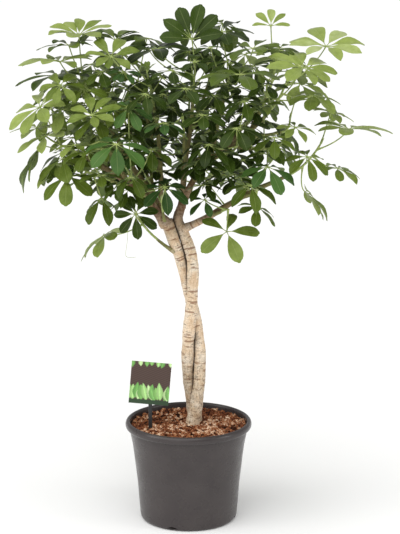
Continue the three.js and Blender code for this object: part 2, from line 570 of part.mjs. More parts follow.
// ---- Solids of the crown --------------------------------------------------------------------------
// A leaf as one thin piece: its blades, cut to the hub between the leaflets, and its petiole,
// whose three sides grow out of the blades' underside at the hub.
function leafSolid({ hub, top, reach, droop, leaflets, stalk }) {
  const outline = [];
  const skip = reach < SMALL_LEAF ? 2 : 3;
  const drawn = leaflets.filter((leaflet, i) => (i + 1) % skip !== 0);
  drawn.forEach(({ along, across, face, length }, i) => {
    const before = drawn[(i + drawn.length - 1) % drawn.length].along;
    const valley = along.clone().add(before).normalize();
    outline.push(hub.clone().addScaledVector(valley, 0.1 * reach));
    const shoulder = (way) => hub.clone().addScaledVector(along, SHOULDER * length)
      .addScaledVector(across, way * HALF_WIDTH * length)
      .addScaledVector(face, (ARCH + FOLD) * length);
    outline.push(shoulder(-1), hub.clone().addScaledVector(along, length), shoulder(1));
  });
  const depth = BLADE_THICKNESS / Math.cos(rad(Math.min(Math.max(droop, 0) + BLADE_SLOPE, 60)));
  const lower = (point) => point.clone().addScaledVector(top, -depth);
  const count = outline.length;
  const centre = 2 * count; // index of the hub on the upper face, then come the petiole's rings
  const positions = [...outline, ...outline.map(lower), hub];

  const ring = (step, side) => centre + 1 + 3 * step + (side % 3);
  const out = leaflets[0].along.clone();
  for (let step = 0; step <= STALK_STEPS; step++) {
    const t = 1 - step / STALK_STEPS;
    const along = step === 0 ? top : stalk.getTangent(t);
    out.addScaledVector(along, -out.dot(along)).normalize();
    const beside = along.clone().cross(out);
    const middle = step === 0 ? lower(hub).addScaledVector(top, -HUB_DEPTH) : stalk.getPoint(t);
    if (step === STALK_STEPS) middle.addScaledVector(along, -FOOT_SUNK);
    const radius = [HUB_RADIUS, PETIOLE_RADIUS, FOOT_RADIUS][step];
    for (let side = 0; side < 3; side++) {
      const angle = (2 * Math.PI * side) / 3;
      positions.push(middle.clone().addScaledVector(out, radius * Math.cos(angle))
        .addScaledVector(beside, radius * Math.sin(angle)));
    }
  }

  const faces = [];
  const nearest = (i) => Math.floor((3 * i) / count + 0.5);
  for (let i = 0; i < count; i++) {
    const next = (i + 1) % count;
    const corner = ring(0, nearest(i));
    faces.push([centre, i, next], [i, i + count, next + count], [i, next + count, next]);
    faces.push([corner, next + count, i + count]);
    if (nearest(i + 1) !== nearest(i)) faces.push([corner, ring(0, nearest(i + 1)), next + count]);
  }
  for (let step = 0; step < STALK_STEPS; step++) {
    for (let side = 0; side < 3; side++) {
      const [a, b] = [ring(step, side), ring(step, side + 1)];
      const [c, d] = [ring(step + 1, side), ring(step + 1, side + 1)];
      faces.push([a, c, b], [b, c, d]);
    }
  }
  faces.push([ring(STALK_STEPS, 0), ring(STALK_STEPS, 2), ring(STALK_STEPS, 1)]);
  return toSolid(meshGeometry(positions.map((point) => point.toArray()), faces));
}

function makeShoot(shoot, leaves) {
  const stem = toSolid(tube(shoot.green, 2, 4, (t) => SHOOT_RADIUS - 0.7 * t));
  return joined([stem, ...leaves.map(leafSolid)]);
}

function makeStem(letter) {
  const limbs = SHOOTS.filter(({ stem }) => stem === letter).map(({ limb, through, wood: [root, end] }) => (
    toSolid(tube(limb, through.length - 1, 4, (t) => root + (end - root) * t))));
  return joined([stemTube(STEMS[letter]), ...limbs]);
}

// ---- Care card on its stake ---------------------------------------------------------------------
function makeCard() {
  return new THREE.BoxGeometry(CARD.width, CARD.thickness, CARD.height);
}

function stakeShape(wider) {
  const [half, thickness] = [STAKE.width / 2 + wider, STAKE.thickness + 2 * wider];
  const outline = new THREE.Shape();
  outline.moveTo(0, STAKE.foot - wider);
  outline.lineTo(half, STAKE.foot + 14);
  outline.lineTo(half, STAKE.top - 12);
  outline.lineTo(STAKE.head / 2, STAKE.top - 12);
  outline.lineTo(STAKE.head / 2, STAKE.top);
  outline.lineTo(-STAKE.head / 2, STAKE.top);
  outline.lineTo(-STAKE.head / 2, STAKE.top - 12);
  outline.lineTo(-half, STAKE.top - 12);
  outline.lineTo(-half, STAKE.foot + 14);
  outline.closePath();
  const [x, y] = [CARD.at[0], CARD.at[1] + CARD.thickness / 2 + 0.3];
  return new THREE.ExtrudeGeometry(outline, { depth: thickness, bevelEnabled: false })
    .rotateX(Math.PI / 2).translate(x, y + thickness - wider, 0);
}

// ---- The assembled plant --------------------------------------------------------------------------
const plastic = (color, roughness) => new THREE.MeshStandardMaterial({ color, roughness, metalness: 0 });
const anthracite = plastic('#4d4b4b', 0.45);
const barkChips = plastic('#6b3a22', 0.95);
const bark = plastic('#cbb08c', 0.85);
const foliage = plastic('#3f6f32', 0.5);
const cardStock = plastic('#5b7d2e', 0.4);
const blackPlastic = plastic('#1c1c1c', 0.5);

const plant = new THREE.Group();

function addPart(name, geometry, material, position = [0, 0, 0]) {
  const part = new THREE.Mesh(geometry, material);
  part.name = name;
  part.position.set(...position);
  plant.add(part);
  return part;
}

addPart('pot', makePot(), anthracite);
addPart('substrate', makeSubstrate([
  stemHole(STEMS.a), stemHole(STEMS.b), toSolid(stakeShape(HOLE_GAP)),
]), barkChips);
addPart('stem_a', makeStem('a'), bark);
addPart('stem_b', makeStem('b'), bark);
const leaves = growCrown();
for (const shoot of SHOOTS) {
  addPart(`shoot_${shoot.name}`, makeShoot(shoot, leaves.filter((leaf) => leaf.shoot === shoot)), foliage);
}
addPart('label_card', makeCard(), cardStock, CARD.at).rotation.y = rad(CARD.lean);
addPart('label_stake', stakeShape(0), blackPlastic);

export default plant;
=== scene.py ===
"""A potted umbrella plant: two twisted stems in a nursery pot, with a crown of leafy shoots.

The sizes are in millimetres, as on the part's own drawings, and turn into metres where a mesh is
made. The crown is grown by the same rules, rows and random draws as its solids, so each finer
shoot lies where its solid does.
"""
import json
import math
import bpy
import numpy as np
from mathutils import Matrix, Vector

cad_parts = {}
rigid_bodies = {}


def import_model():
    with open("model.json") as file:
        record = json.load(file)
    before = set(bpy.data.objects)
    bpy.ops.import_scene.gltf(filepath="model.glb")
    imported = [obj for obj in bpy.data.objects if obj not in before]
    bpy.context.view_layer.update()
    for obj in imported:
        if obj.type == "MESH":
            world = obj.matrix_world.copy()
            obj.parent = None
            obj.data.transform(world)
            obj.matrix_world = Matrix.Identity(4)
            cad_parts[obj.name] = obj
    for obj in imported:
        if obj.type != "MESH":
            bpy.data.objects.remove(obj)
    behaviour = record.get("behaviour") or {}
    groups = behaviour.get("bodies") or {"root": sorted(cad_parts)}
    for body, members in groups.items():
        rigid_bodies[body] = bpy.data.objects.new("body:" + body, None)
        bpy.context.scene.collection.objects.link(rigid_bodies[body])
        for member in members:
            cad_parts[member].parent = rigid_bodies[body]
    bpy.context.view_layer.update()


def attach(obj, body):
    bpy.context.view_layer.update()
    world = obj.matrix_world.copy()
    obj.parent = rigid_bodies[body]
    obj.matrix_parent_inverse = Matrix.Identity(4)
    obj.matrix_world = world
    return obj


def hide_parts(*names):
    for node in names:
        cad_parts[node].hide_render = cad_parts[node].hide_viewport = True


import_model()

MM = 0.001

# ---- Sizes, the same as the solids' -----------------------------------------------------------
POT_RIM_RADIUS, POT_FOOT_RADIUS, POT_HEIGHT, POT_WALL, POT_FLOOR = 135, 104.7, 217, 2.2, 3
RIM_SKIRT = 16
WALL = ((16, POT_FOOT_RADIUS), (80, 109.5), (161, 119), (190, 124.6), (212, 126.4))
DRAINS, DRAIN_RADIUS, DRAIN_HEIGHT, FIRST_DRAIN = 4, 20, 9, -109
SOIL_LEVEL, SOIL_MOUND, SOIL_RELIEF, SOIL_GAP = 204, 5, 1.8, 0.7
STEM_FOOT, TWIST_FOOT, TWIST_TOP, TWIST_PITCH, TWIST_FRONT, TWIST_STEPS = 116, 212, 600, 488, 226, 20
STEM_RADIUS, STEM_FLARE, STEM_GAP, TWIST_AXIS_Y = 12.8, 2.4, 0.35, 3
SHOOT_GAP, SHOOT_RADIUS, PETIOLE_RADIUS = 0.6, 2.7, 1.5
HALF_WIDTH, ARCH, SPREAD = 0.195, 0.06, 330  # shares of a leaflet's length; degrees of a whole leaf
# Room round a leaf: to blades of other shoots and of its own, from a petiole to a blade and to
# another petiole, and from a blade and from a petiole to the wood.
CLEAR, CLEAR_OWN, STALK_CLEAR, STALK_GAP, WOOD_CLEAR, WOOD_STALK_GAP = 6.2, 4, 5, 9, 3.5, 6
TRIES = 48  # places for each leaf
STALK_STEP, WOOD_STEP = 9, 7  # between the points that stand for a petiole, and for wood
GOLDEN_ANGLE = 137.5
CARD_WIDTH, CARD_HEIGHT, CARD_THICKNESS, CARD_LEAN = 84, 92, 0.9, 5
CARD_AT = (-80.5, -43, 309)
STAKE_WIDTH, STAKE_THICKNESS, STAKE_FOOT, STAKE_TOP, STAKE_HEAD = 8, 2.2, 120, 296, 26

# ---- Sizes of what only the scene has ---------------------------------------------------------
FILLERS, FILLER_TRIES = 18, 320  # small inner leaves for each shoot
FILLER_CLEAR, FILLER_STALK_CLEAR, FILLER_WOOD_CLEAR = 2.5, 2, 1.5  # the room that they keep
CROWN_MIDDLE, CROWN_SIZE = (-70, 5, 868), (238, 205, 140)  # of the block in which they stand
FORK_TOP, FORK_FRONT = 735, 30  # none is both lower and further forward, so that the fork shows
CROWN_SEED, FILLER_SEED, TONE_SEED, FIRST_LEAFLET_SEED, MULCH_SEED, FIRST_CHIP_SEED, PRINT_SEED = (
    7, 9, 5, 70, 3, 300, 11)

# Each shoot: the woody limb that carries it (its stem, its radius at both ends, and the points
# it runs through), the shoot's tip, and its leaves. A leaf is hub x, y, z, reach, tilt, facing,
# droop, leaflets, spin and spread. A number instead is that many leaves placed by rule.
SHOOTS = [
    {"name": "upper_left", "stem": "a", "wood": (6, 3.2),
     "through": [(-77, -20, 686), (-112, -12, 760), (-150, -20, 830), (-180, -26, 884)],
     "tip": (-214, -35, 945), "leaves": [
         (-222, -10, 1035, 78, 14, -95, -14, 8, 20), (-240, -45, 1018, 68, 6, 180, 1, 7),
         (-256, -78, 988, 90, 3, 180, 1, 8), (-264, -25, 956, 92, 8, 180, 5, 7),
         (-250, -128, 943, 62, 30, -95, 16, 7, 170), (-202, -104, 941, 60, 34, -85, 14, 7, 150),
         (-190, -62, 966, 72, 20, -80, 18, 7, 60)]},
    {"name": "front_left", "stem": "a", "wood": (5, 3),
     "through": [(-122, -55, 738), (-145, -85, 785), (-160, -108, 815)],
     "tip": (-178, -130, 852), "leaves": [
         (-192, -180, 896, 68, 34, -110, -2, 7, 180, 260),
         (-184, -100, 877, 70, 14, -130, 24, 7), (-160, -142, 919, 82, 32, -75, 18, 7, 160)]},
    {"name": "left", "stem": "a", "wood": (11, 3.4),
     "through": [(-46, -2, 642), (-77, -20, 686), (-122, -55, 738), (-180, -60, 776),
     (-214, -62, 796)],
     "tip": (-258, -66, 818), "leaves": [
         (-294, -98, 900, 86, 30, -140, 2, 8, 10), (-305, -45, 850, 60, 8, 180, 6, 7),
         (-278, -90, 834, 80, 18, -160, 8, 7), (-300, -26, 812, 108, 52, 180, 12, 4, 0, 100),
         (-252, -72, 792, 70, 28, -130, 20, 6)]},
    {"name": "lower_left", "stem": "a", "wood": (4.5, 3),
     "through": [(-104, -42, 719), (-140, -60, 735), (-158, -66, 745)],
     "tip": (-202, -76, 764), "leaves": [
         (-244, -92, 761, 74, 22, -110, 26, 7, 10), (-176, -78, 712, 64, 15, -100, 46, 6),
         (-208, -10, 745, 70, 25, 150, 20, 6), (-192, -112, 806, 70, 18, -95, 26, 7)]},
    {"name": "front_middle_left", "stem": "a", "wood": (4, 3),
     "through": [(-72, -17, 680), (-92, -55, 715), (-103, -80, 736)],
     "tip": (-119, -125, 773), "leaves": [
         (-139, -208, 840, 80, 22, -95, 20, 8, 22), (-112, -175, 772, 56, 14, -90, 38, 6),
         (-122, -158, 890, 72, 20, -80, 22, 7), (-72, -135, 820, 58, 12, -85, 24, 7)]},
    {"name": "sucker", "stem": "a", "wood": (4, 2.8),
     "through": [(-29, -4, 583), (-48, -8, 597), (-64, -20, 613)],
     "tip": (-104, -50, 664), "leaves": [
         (-107, -96, 680, 60, 62, -90, 6, 8, 20), (-169, -52, 631, 80, 32, 180, 12, 6, 0, 210),
         (-118, 10, 694, 60, 20, 120, 18, 6)]},
    {"name": "fork", "stem": "a", "wood": (4, 2.8),
     "through": [(-46, -1, 636), (-51, -22, 660), (-52, -34, 674)],
     "tip": (-54, -75, 712), "leaves": [
         (-46, -150, 746, 62, 32, -92, 20, 7, 10), (-110, -62, 800, 54, 25, -120, 12, 7)]},
    {"name": "inner_left", "stem": "a", "wood": (6, 3.2),
     "through": [(-60, -9, 661), (-57, 2, 740), (-62, -5, 830), (-70, -20, 890)],
     "tip": (-80, -42, 952), "leaves": [
         (-80, -128, 972, 30, 20, -90, -50, 6), (-148, 15, 1023, 68, 8, 170, -14, 7),
         (-156, -96, 999, 66, 30, -80, -6, 7, 170), (-84, -160, 932, 60, 18, -90, 26, 7),
         (-120, -104, 954, 56, 14, -85, 18, 7, 150)]},
    {"name": "centre", "stem": "b", "wood": (6.5, 3.2),
     "through": [(-14, 9, 674), (-8, 10, 758), (5, 0, 840), (10, -10, 905)],
     "tip": (14, -22, 970), "leaves": [
         (8, -10, 1026, 76, 63, -95, -8, 6, 185, 172), (14, -85, 988, 48, 20, -90, 5, 6),
         (-62, -34, 1010, 88, 7, -150, 5, 7), (-82, 58, 1004, 60, 14, 90, 2, 7),
         (-4, -160, 943, 64, 12, -70, 14, 7), (-28, -104, 974, 58, 12, -95, 12, 7)]},
    {"name": "upper_middle", "stem": "b", "wood": (4.5, 3),
     "through": [(46, 0, 775), (60, 12, 840), (74, 10, 900)],
     "tip": (86, 0, 965), "leaves": [
         (68, 30, 1037, 82, 12, -85, 6, 8, 165), (132, -64, 1014, 78, 14, -170, 4, 7),
         (104, -130, 969, 100, 5, -95, 3, 8), (44, -66, 1002, 46, 14, -100, 12, 7)]},
    {"name": "top_right", "stem": "b", "wood": (4, 2.8),
     "through": [(130, -38, 846), (152, -14, 890), (160, -6, 905)],
     "tip": (177, 10, 955), "leaves": [
         (170, 24, 1051, 46, 32, -90, -10, 5, 180, 190), (186, -10, 1010, 50, 12, -60, 6, 7),
         (182, 55, 998, 56, 15, 60, 6, 7)]},
    {"name": "upper_right", "stem": "b", "wood": (7.5, 3.2),
     "through": [(-22, 7, 654), (8, 8, 728), (46, 0, 775), (107, -30, 825), (150, -45, 866),
     (168, -50, 888)],
     "tip": (199, -62, 946), "leaves": [
         (223, -125, 975, 98, 28, -70, 4, 8, 178), (279, -60, 1018, 94, 20, -88, 0, 8, 178, 300),
         (252, -75, 920, 66, 8, -45, 20, 7), (226, -5, 955, 70, 18, 60, 8, 6)]},
    {"name": "right", "stem": "b", "wood": (8, 3.4),
     "through": [(-12, 5, 630), (30, -8, 652), (81, -25, 686), (136, -40, 720), (176, -42, 738),
     (206, -42, 752)],
     "tip": (272, -40, 818), "leaves": [
         (293, -15, 878, 52, 12, -10, 8, 7), (328, -50, 850, 98, 4, 0, -1, 7, 10),
         (303, -72, 772, 58, 20, -10, 14, 6, 0, 240), (244, -112, 794, 66, 30, -60, 22, 7),
         (242, -24, 714, 78, 50, -4, 4, 6, 0, 170)]},
    {"name": "middle_right", "stem": "b", "wood": (4, 2.8),
     "through": [(90, -22, 810), (122, -48, 808), (136, -56, 808)],
     "tip": (180, -74, 815), "leaves": [
         (216, -95, 858, 48, 20, -60, 10, 7), (173, -125, 842, 56, 18, -90, 22, 7),
         (160, -140, 785, 70, 16, -60, 26, 7), (150, -72, 900, 52, 20, -120, 5, 6)]},
    {"name": "lower_right", "stem": "b", "wood": (4, 2.8),
     "through": [(112, -34, 706), (126, -58, 713), (132, -70, 719)],
     "tip": (142, -105, 735), "leaves": [
         (125, -160, 752, 68, 18, -75, 26, 7), (140, -104, 698, 56, 22, -30, 24, 7)]},
    {"name": "front_middle_right", "stem": "b", "wood": (4, 2.8),
     "through": [(62, -8, 788), (78, -48, 800), (86, -62, 804)],
     "tip": (101, -110, 828), "leaves": [
         (96, -190, 870, 63, 14, -90, 22, 7, 22), (42, -165, 834, 62, 18, -100, 28, 7),
         (112, -150, 918, 62, 14, -80, 26, 7)]},
    {"name": "low_front", "stem": "b", "wood": (3.8, 2.8),
     "through": [(48, -14, 664), (64, -32, 672), (69, -39, 676)],
     "tip": (82, -72, 686), "leaves": [
         (79, -98, 645, 76, 44, -88, 8, 5, 20, 288), (34, -70, 706, 46, 28, -110, 18, 6)]},
    {"name": "inner_front", "stem": "b", "wood": (3.8, 2.8),
     "through": [(12, 7, 735), (30, -20, 740), (36, -28, 743)],
     "tip": (50, -64, 756), "leaves": [
         (28, -122, 788, 56, 14, -95, 26, 7), (86, -104, 770, 48, 16, -70, 26, 6),
         (100, -70, 802, 60, 25, -60, 12, 6)]},
    {"name": "high_front", "stem": "b", "wood": (3.8, 2.8),
     "through": [(-5, 9, 764), (-8, -25, 805), (-8, -50, 832)],
     "tip": (-10, -98, 880), "leaves": [
         (-44, -172, 882, 60, 10, -100, 18, 7), (30, -175, 892, 58, 10, -80, 16, 7),
         (52, -70, 920, 62, 16, -70, 20, 7)]},
    {"name": "back_left", "stem": "a", "wood": (6, 3),
     "through": [(-46, 0, 640), (-76, 40, 700), (-130, 80, 762), (-185, 102, 800)],
     "tip": (-228, 125, 850), "leaves": 4},
    {"name": "back_left_high", "stem": "a", "wood": (4.5, 2.8),
     "through": [(-76, 40, 700), (-100, 92, 770), (-132, 140, 828)],
     "tip": (-168, 185, 890), "leaves": 5},
    {"name": "back_low", "stem": "a", "wood": (4.5, 2.8),
     "through": [(-76, 40, 700), (-80, 105, 738), (-86, 158, 762)],
     "tip": (-96, 218, 800), "leaves": 4},
    {"name": "top_left_back", "stem": "a", "wood": (4.5, 2.8),
     "through": [(-56, 2, 738), (-78, 55, 820), (-95, 85, 885)],
     "tip": (-108, 112, 922), "leaves": 4},
    {"name": "low_left_back", "stem": "a", "wood": (4, 2.8),
     "through": [(-76, 40, 700), (-118, 78, 706), (-138, 92, 711)],
     "tip": (-180, 118, 732), "leaves": 4},
    {"name": "back", "stem": "b", "wood": (5.5, 2.8),
     "through": [(-13, 9, 678), (-6, 70, 752), (-1, 128, 805), (0, 165, 840)],
     "tip": (2, 214, 896), "leaves": 5},
    {"name": "back_right_low", "stem": "b", "wood": (4.5, 2.8),
     "through": [(-6, 70, 752), (40, 122, 770), (78, 162, 786)],
     "tip": (112, 208, 815), "leaves": 4},
    {"name": "back_right_high", "stem": "b", "wood": (5, 2.8),
     "through": [(46, 0, 775), (90, 58, 812), (128, 106, 842), (152, 136, 866)],
     "tip": (168, 175, 908), "leaves": 4},
    {"name": "right_back", "stem": "b", "wood": (4.5, 2.8),
     "through": [(90, 58, 812), (150, 76, 816), (196, 88, 822)],
     "tip": (216, 114, 850), "leaves": 3},
    {"name": "top_back", "stem": "b", "wood": (4.5, 2.8),
     "through": [(5, 0, 838), (28, 46, 888), (40, 74, 922)],
     "tip": (50, 104, 962), "leaves": 5},
    {"name": "low_right_back", "stem": "b", "wood": (4, 2.8),
     "through": [(81, -25, 686), (106, 36, 693), (128, 80, 704)],
     "tip": (146, 128, 728), "leaves": 3},
    {"name": "low_back", "stem": "b", "wood": (4, 2.8),
     "through": [(-13, 9, 681), (0, 60, 688), (5, 92, 694)],
     "tip": (10, 150, 716), "leaves": 4},
]

# How light each listed leaf is, from 0, old and dark, to 1, young and pale.
# The values also hold painted light and shade: higher on the crown's left and right, where light falls on
# and through the leaves, and lower in its shaded middle.
LEAF_TONES_AND_LIGHT = {
    "upper_left": (.8, .5, .75, .4, .65, .55, .4),
    "front_left": (.7, .5, .6),
    "left": (.85, .75, .85, .55, .6),
    "lower_left": (.6, .5, .5, .5),
    "front_middle_left": (.45, .4, .45, .35),
    "sucker": (.25, .75, .35),
    "fork": (.15, .3),
    "inner_left": (.6, .5, .7, .25, .25),
    "centre": (.3, .25, .15, .35, .2, .25),
    "upper_middle": (.15, .5, .5, .2),
    "top_right": (.8, .5, .4),
    "upper_right": (.8, .85, .7, .7),
    "right": (.75, .8, .6, .6, .75),
    "middle_right": (.7, .55, .45, .7),
    "lower_right": (.45, .5),
    "front_middle_right": (.2, .2, .3),
    "low_front": (.7, .35),
    "inner_front": (.2, .25, .25),
    "high_front": (.25, .25, .3),
    "back_right_high": (.8, .75, .8, .7),
    "right_back": (.75, .7, .65),
    "back_left": (.7, .7, .65, .6),
    "back_left_high": (.6, .6, .55, .5, .6),
}
# Old leaves, of a deeper green made colder as a painted sheen: the shoot, and which of its leaves.
OLD_SHEENED_LEAVES = {("front_middle_left", 0), ("front_middle_left", 2), ("fork", 0), ("fork", 1),
              ("inner_left", 4), ("high_front", 0), ("middle_right", 2), ("centre", 3), ("low_front", 1)}


# ---- Curves, random draws and meshes ----------------------------------------------------------
def array(*values):
    return np.array(values, float)


def unit(vector):
    return vector / np.linalg.norm(vector)


def seeded(seed):
    """Random draws from 0 to 1, the same each time."""
    state = seed

    def draw():
        nonlocal state
        state = (state + 0x6D2B79F5) & 0xFFFFFFFF
        mixed = ((state ^ (state >> 15)) * (1 | state)) & 0xFFFFFFFF
        mixed = (mixed + (((mixed ^ (mixed >> 7)) * (61 | mixed)) & 0xFFFFFFFF)) & 0xFFFFFFFF ^ mixed
        return (mixed ^ (mixed >> 14)) / 4294967296
    return draw


def smooth_curve(points):
    """A curve through all the points, as a function of 0 to 1."""
    points = [np.array(point, float) for point in points]
    last = len(points) - 1

    def at(t):
        place = last * t
        i = min(int(math.floor(place)), last - 1)
        w = place - i
        before = points[i - 1] if i > 0 else points[0] - points[1] + points[0]
        start, end = points[i], points[i + 1]
        after = points[i + 2] if i + 2 <= last else points[last] - points[last - 1] + points[last]
        v0, v1 = (end - before) * 0.5, (after - start) * 0.5
        return ((2 * start - 2 * end + v0 + v1) * w ** 3
                + (-3 * start + 3 * end - 2 * v0 - v1) * w * w + v0 * w + start)
    at.corners = points
    return at


def bend(start, over, end):
    """A curve from start to end that is drawn towards a point between them."""
    def at(t):
        return (1 - t) ** 2 * start + 2 * (1 - t) * t * over + t * t * end
    at.corners = [start, over, end]
    return at


def length_of(curve):
    """A curve's length, taken straight from corner to corner."""
    corners = curve.corners
    return sum(np.linalg.norm(end - start) for start, end in zip(corners, corners[1:]))


def heading_of(turn, rise):
    """The direction at an angle round +Z and an angle up from level."""
    return array(math.cos(turn) * math.cos(rise), math.sin(turn) * math.cos(rise), math.sin(rise))


def mesh_object(name, points, faces, smooth=True):
    """A mesh in place, from points in millimetres."""
    mesh = bpy.data.meshes.new(name)
    mesh.from_pydata((np.asarray(points, float) * MM).tolist(), [], faces)
    mesh.polygons.foreach_set("use_smooth", [smooth] * len(mesh.polygons))
    mesh.update()
    made = bpy.data.objects.new(name, mesh)
    bpy.context.collection.objects.link(made)
    return made


def give(mesh, name, kind, values):
    """Stores a value for each point of a mesh."""
    field = "vector" if kind == "FLOAT_VECTOR" else "value"
    layer = mesh.attributes.new(name, kind, "POINT")
    layer.data.foreach_set(field, np.asarray(values).ravel())


def frames_along(points):
    """For points on a line, two directions square to it that turn with it as little as they can."""
    tangents = np.gradient(points, axis=0)
    tangents /= np.linalg.norm(tangents, axis=1)[:, None]
    normal = array(0.83, 0.51, 0.23)
    normals = []
    for tangent in tangents:
        normal = unit(normal - tangent * normal.dot(tangent))
        normals.append(normal)
    normals = np.array(normals)
    return normals, np.cross(tangents, normals)


def ring_faces(rows, sides, start=0, closed_ends=True):
    """Faces of a tube whose points lie in rings, one ring after another."""
    faces = []
    for row in range(rows - 1):
        for side in range(sides):
            beside = (side + 1) % sides
            low, high = start + row * sides, start + (row + 1) * sides
            faces.append((low + side, low + beside, high + beside, high + side))
    if closed_ends:
        faces.append(tuple(start + side for side in reversed(range(sides))))
        faces.append(tuple(start + (rows - 1) * sides + side for side in range(sides)))
    return faces


# ---- How the crown grows ----------------------------------------------------------------------
def stem_radius(height):
    """A stem flares where it enters the soil, and from 300 mm up it slowly gets thinner."""
    return (STEM_RADIUS + STEM_FLARE * math.exp(-max(height - 200, 0) / 35)
            - 0.0035 * max(height - 300, 0))


def stem_line(turn, free):
    """A stem's helix round an axis that leans to the left, and the points where it runs free."""
    points = []
    for step in range(TWIST_STEPS + 1):
        height = STEM_FOOT + (TWIST_TOP - STEM_FOOT) * step / TWIST_STEPS
        angle = math.radians(turn - 90 + 360 * (max(height, TWIST_FOOT) - TWIST_FRONT) / TWIST_PITCH)
        away = stem_radius(height) + STEM_GAP + 0.02 * max(height - 540, 0)
        axis = 12 - 15 * (max(height - 225, 0) / 340) ** 3 - 0.2 * max(height - 565, 0)
        points.append((axis + away * math.cos(angle), TWIST_AXIS_Y + away * math.sin(angle), height))
    return smooth_curve(points + list(free))


STEMS = {
    "a": {"line": stem_line(0, [(-35, -3, 622), (-46, -2, 650)]), "top": 12},
    "b": {"line": stem_line(180, [(-11, 6, 622), (-22, 8, 650), (-12, 9, 686)]), "top": 9},
}


def add_shoot_lines(shoot):
    """The lines of a shoot's woody limb and of the green shoot that goes on from it."""
    points = [array(*point) for point in shoot["through"]]
    heading = unit(points[-1] - points[-2])
    tip = array(*shoot["tip"])
    foot = points[-1] + heading * SHOOT_GAP
    over = foot + heading * 0.45 * np.linalg.norm(foot - tip)
    shoot["limb"] = smooth_curve(points)
    shoot["green"] = bend(foot, over, tip)


def grow_leaf(shoot, meant, draw):
    """A leaf as lines: its petiole, and the directions along, across and out of each leaflet."""
    lean, turn = math.radians(meant["tilt"]), math.radians(meant["facing"])
    top = array(math.sin(lean) * math.cos(turn), math.sin(lean) * math.sin(turn), math.cos(lean))
    out = array(math.cos(lean) * math.cos(turn), math.cos(lean) * math.sin(turn), -math.sin(lean))
    side = np.cross(top, out)
    hub, reach, count = meant["hub"], meant["reach"], meant["count"]
    along, across, face, length = [], [], [], []
    for i in range(count):
        angle = (i / (count - 1) - 0.5) * meant["spread"]
        heading = math.radians(angle + meant["spin"])
        dip = math.radians(meant["droop"] + 12 * (draw() - 0.5))
        roll = math.radians(26 * (draw() - 0.5))
        level = out * math.cos(heading) + side * math.sin(heading)
        along.append(level * math.cos(dip) - top * math.sin(dip))
        flat = np.cross(top, level)
        face.append(np.cross(along[-1], flat) * math.cos(roll) - flat * math.sin(roll))
        across.append(np.cross(face[-1], along[-1]))
        length.append(reach * (0.88 + 0.12 * math.cos(math.radians(angle))))
    foot = meant["foot"]
    away = np.linalg.norm(foot - hub)
    over = ((foot + hub) * 0.5 + hub - top * 0.5 * away) * 0.5 + array(0, 0, 0.05 * away)
    return {"shoot": shoot["name"], "hub": hub, "top": top, "reach": reach, "away": away,
            "along": np.array(along), "across": np.array(across), "face": np.array(face),
            "length": np.array(length), "stalk": bend(foot, over, hub)}


def half_width_at(u):
    """Half a leaflet's width as a share of its length, from the hub, 0, to the tip, 1."""
    return HALF_WIDTH * np.maximum(0, np.minimum(np.minimum((u - 0.1) / 0.35, (1.08 - u) / 0.3), 1))


def add_samples(leaf):
    """Points spread over the leaf, by which it is kept clear of the others."""
    u = array(0.25, 0.4, 0.55, 0.7, 0.85, 1)[None, :, None, None]
    v = array(-1, 0, 1)[None, None, :, None]
    length = leaf["length"][:, None, None, None]
    spread = lambda directions: directions[:, None, None, :]
    points = (leaf["hub"] + spread(leaf["along"]) * u * length
              + spread(leaf["across"]) * v * half_width_at(u) * length
              + spread(leaf["face"]) * (4 * ARCH * u * (1 - u) * length))
    leaf["samples"] = points.reshape(-1, 3)
    steps = math.ceil(leaf["away"] / STALK_STEP)
    leaf["stalk_samples"] = np.array([leaf["stalk"](i / steps) for i in range(1, steps)]).reshape(-1, 3)


def inside_blade(leaf, points, room):
    """Whether any of the points is in the leaf's blades, or nearer to them than the room."""
    offset = points - leaf["hub"]
    room = np.broadcast_to(np.asarray(room, float), (len(points),))
    near = (offset * offset).sum(1) <= (leaf["reach"] + room) ** 2
    if not near.any():
        return False
    offset, room, length = offset[near], room[near][:, None], leaf["length"][None]
    u = offset @ leaf["along"].T / length
    rise = np.abs(offset @ leaf["face"].T - 4 * ARCH * u * (1 - u) * length)
    beside = np.abs(offset @ leaf["across"].T)
    return bool(((u >= -room / length) & (u <= 1 + room / length)
                 & (beside <= half_width_at(u) * length + room) & (rise < room)).any())


def is_blocked(leaf, grown, wood):
    """Whether a leaf would cross what has already grown."""
    for other in grown:
        far = leaf["reach"] + other["reach"] + max(leaf["away"], other["away"]) + CLEAR
        if np.linalg.norm(leaf["hub"] - other["hub"]) > far:
            continue
        apart = leaf["shoot"] != other["shoot"]
        room = CLEAR if apart else CLEAR_OWN
        if inside_blade(other, leaf["samples"], room) or inside_blade(leaf, other["samples"], room):
            return True
        if not apart:
            continue
        mine, theirs = leaf["stalk_samples"], other["stalk_samples"]
        if inside_blade(other, mine, STALK_CLEAR) or inside_blade(leaf, theirs, STALK_CLEAR):
            return True
        gaps = np.linalg.norm(mine[:, None] - theirs[None], axis=2)
        if gaps.size and gaps.min() < STALK_GAP:
            return True
    near = wood["owner"] != leaf["shoot"]
    at, radius = wood["at"][near], wood["radius"][near]
    if inside_blade(leaf, at, radius + WOOD_CLEAR):
        return True
    gaps = np.linalg.norm(leaf["stalk_samples"][:, None] - at[None], axis=2) - radius[None]
    return bool(gaps.size and gaps.min() < WOOD_STALK_GAP)


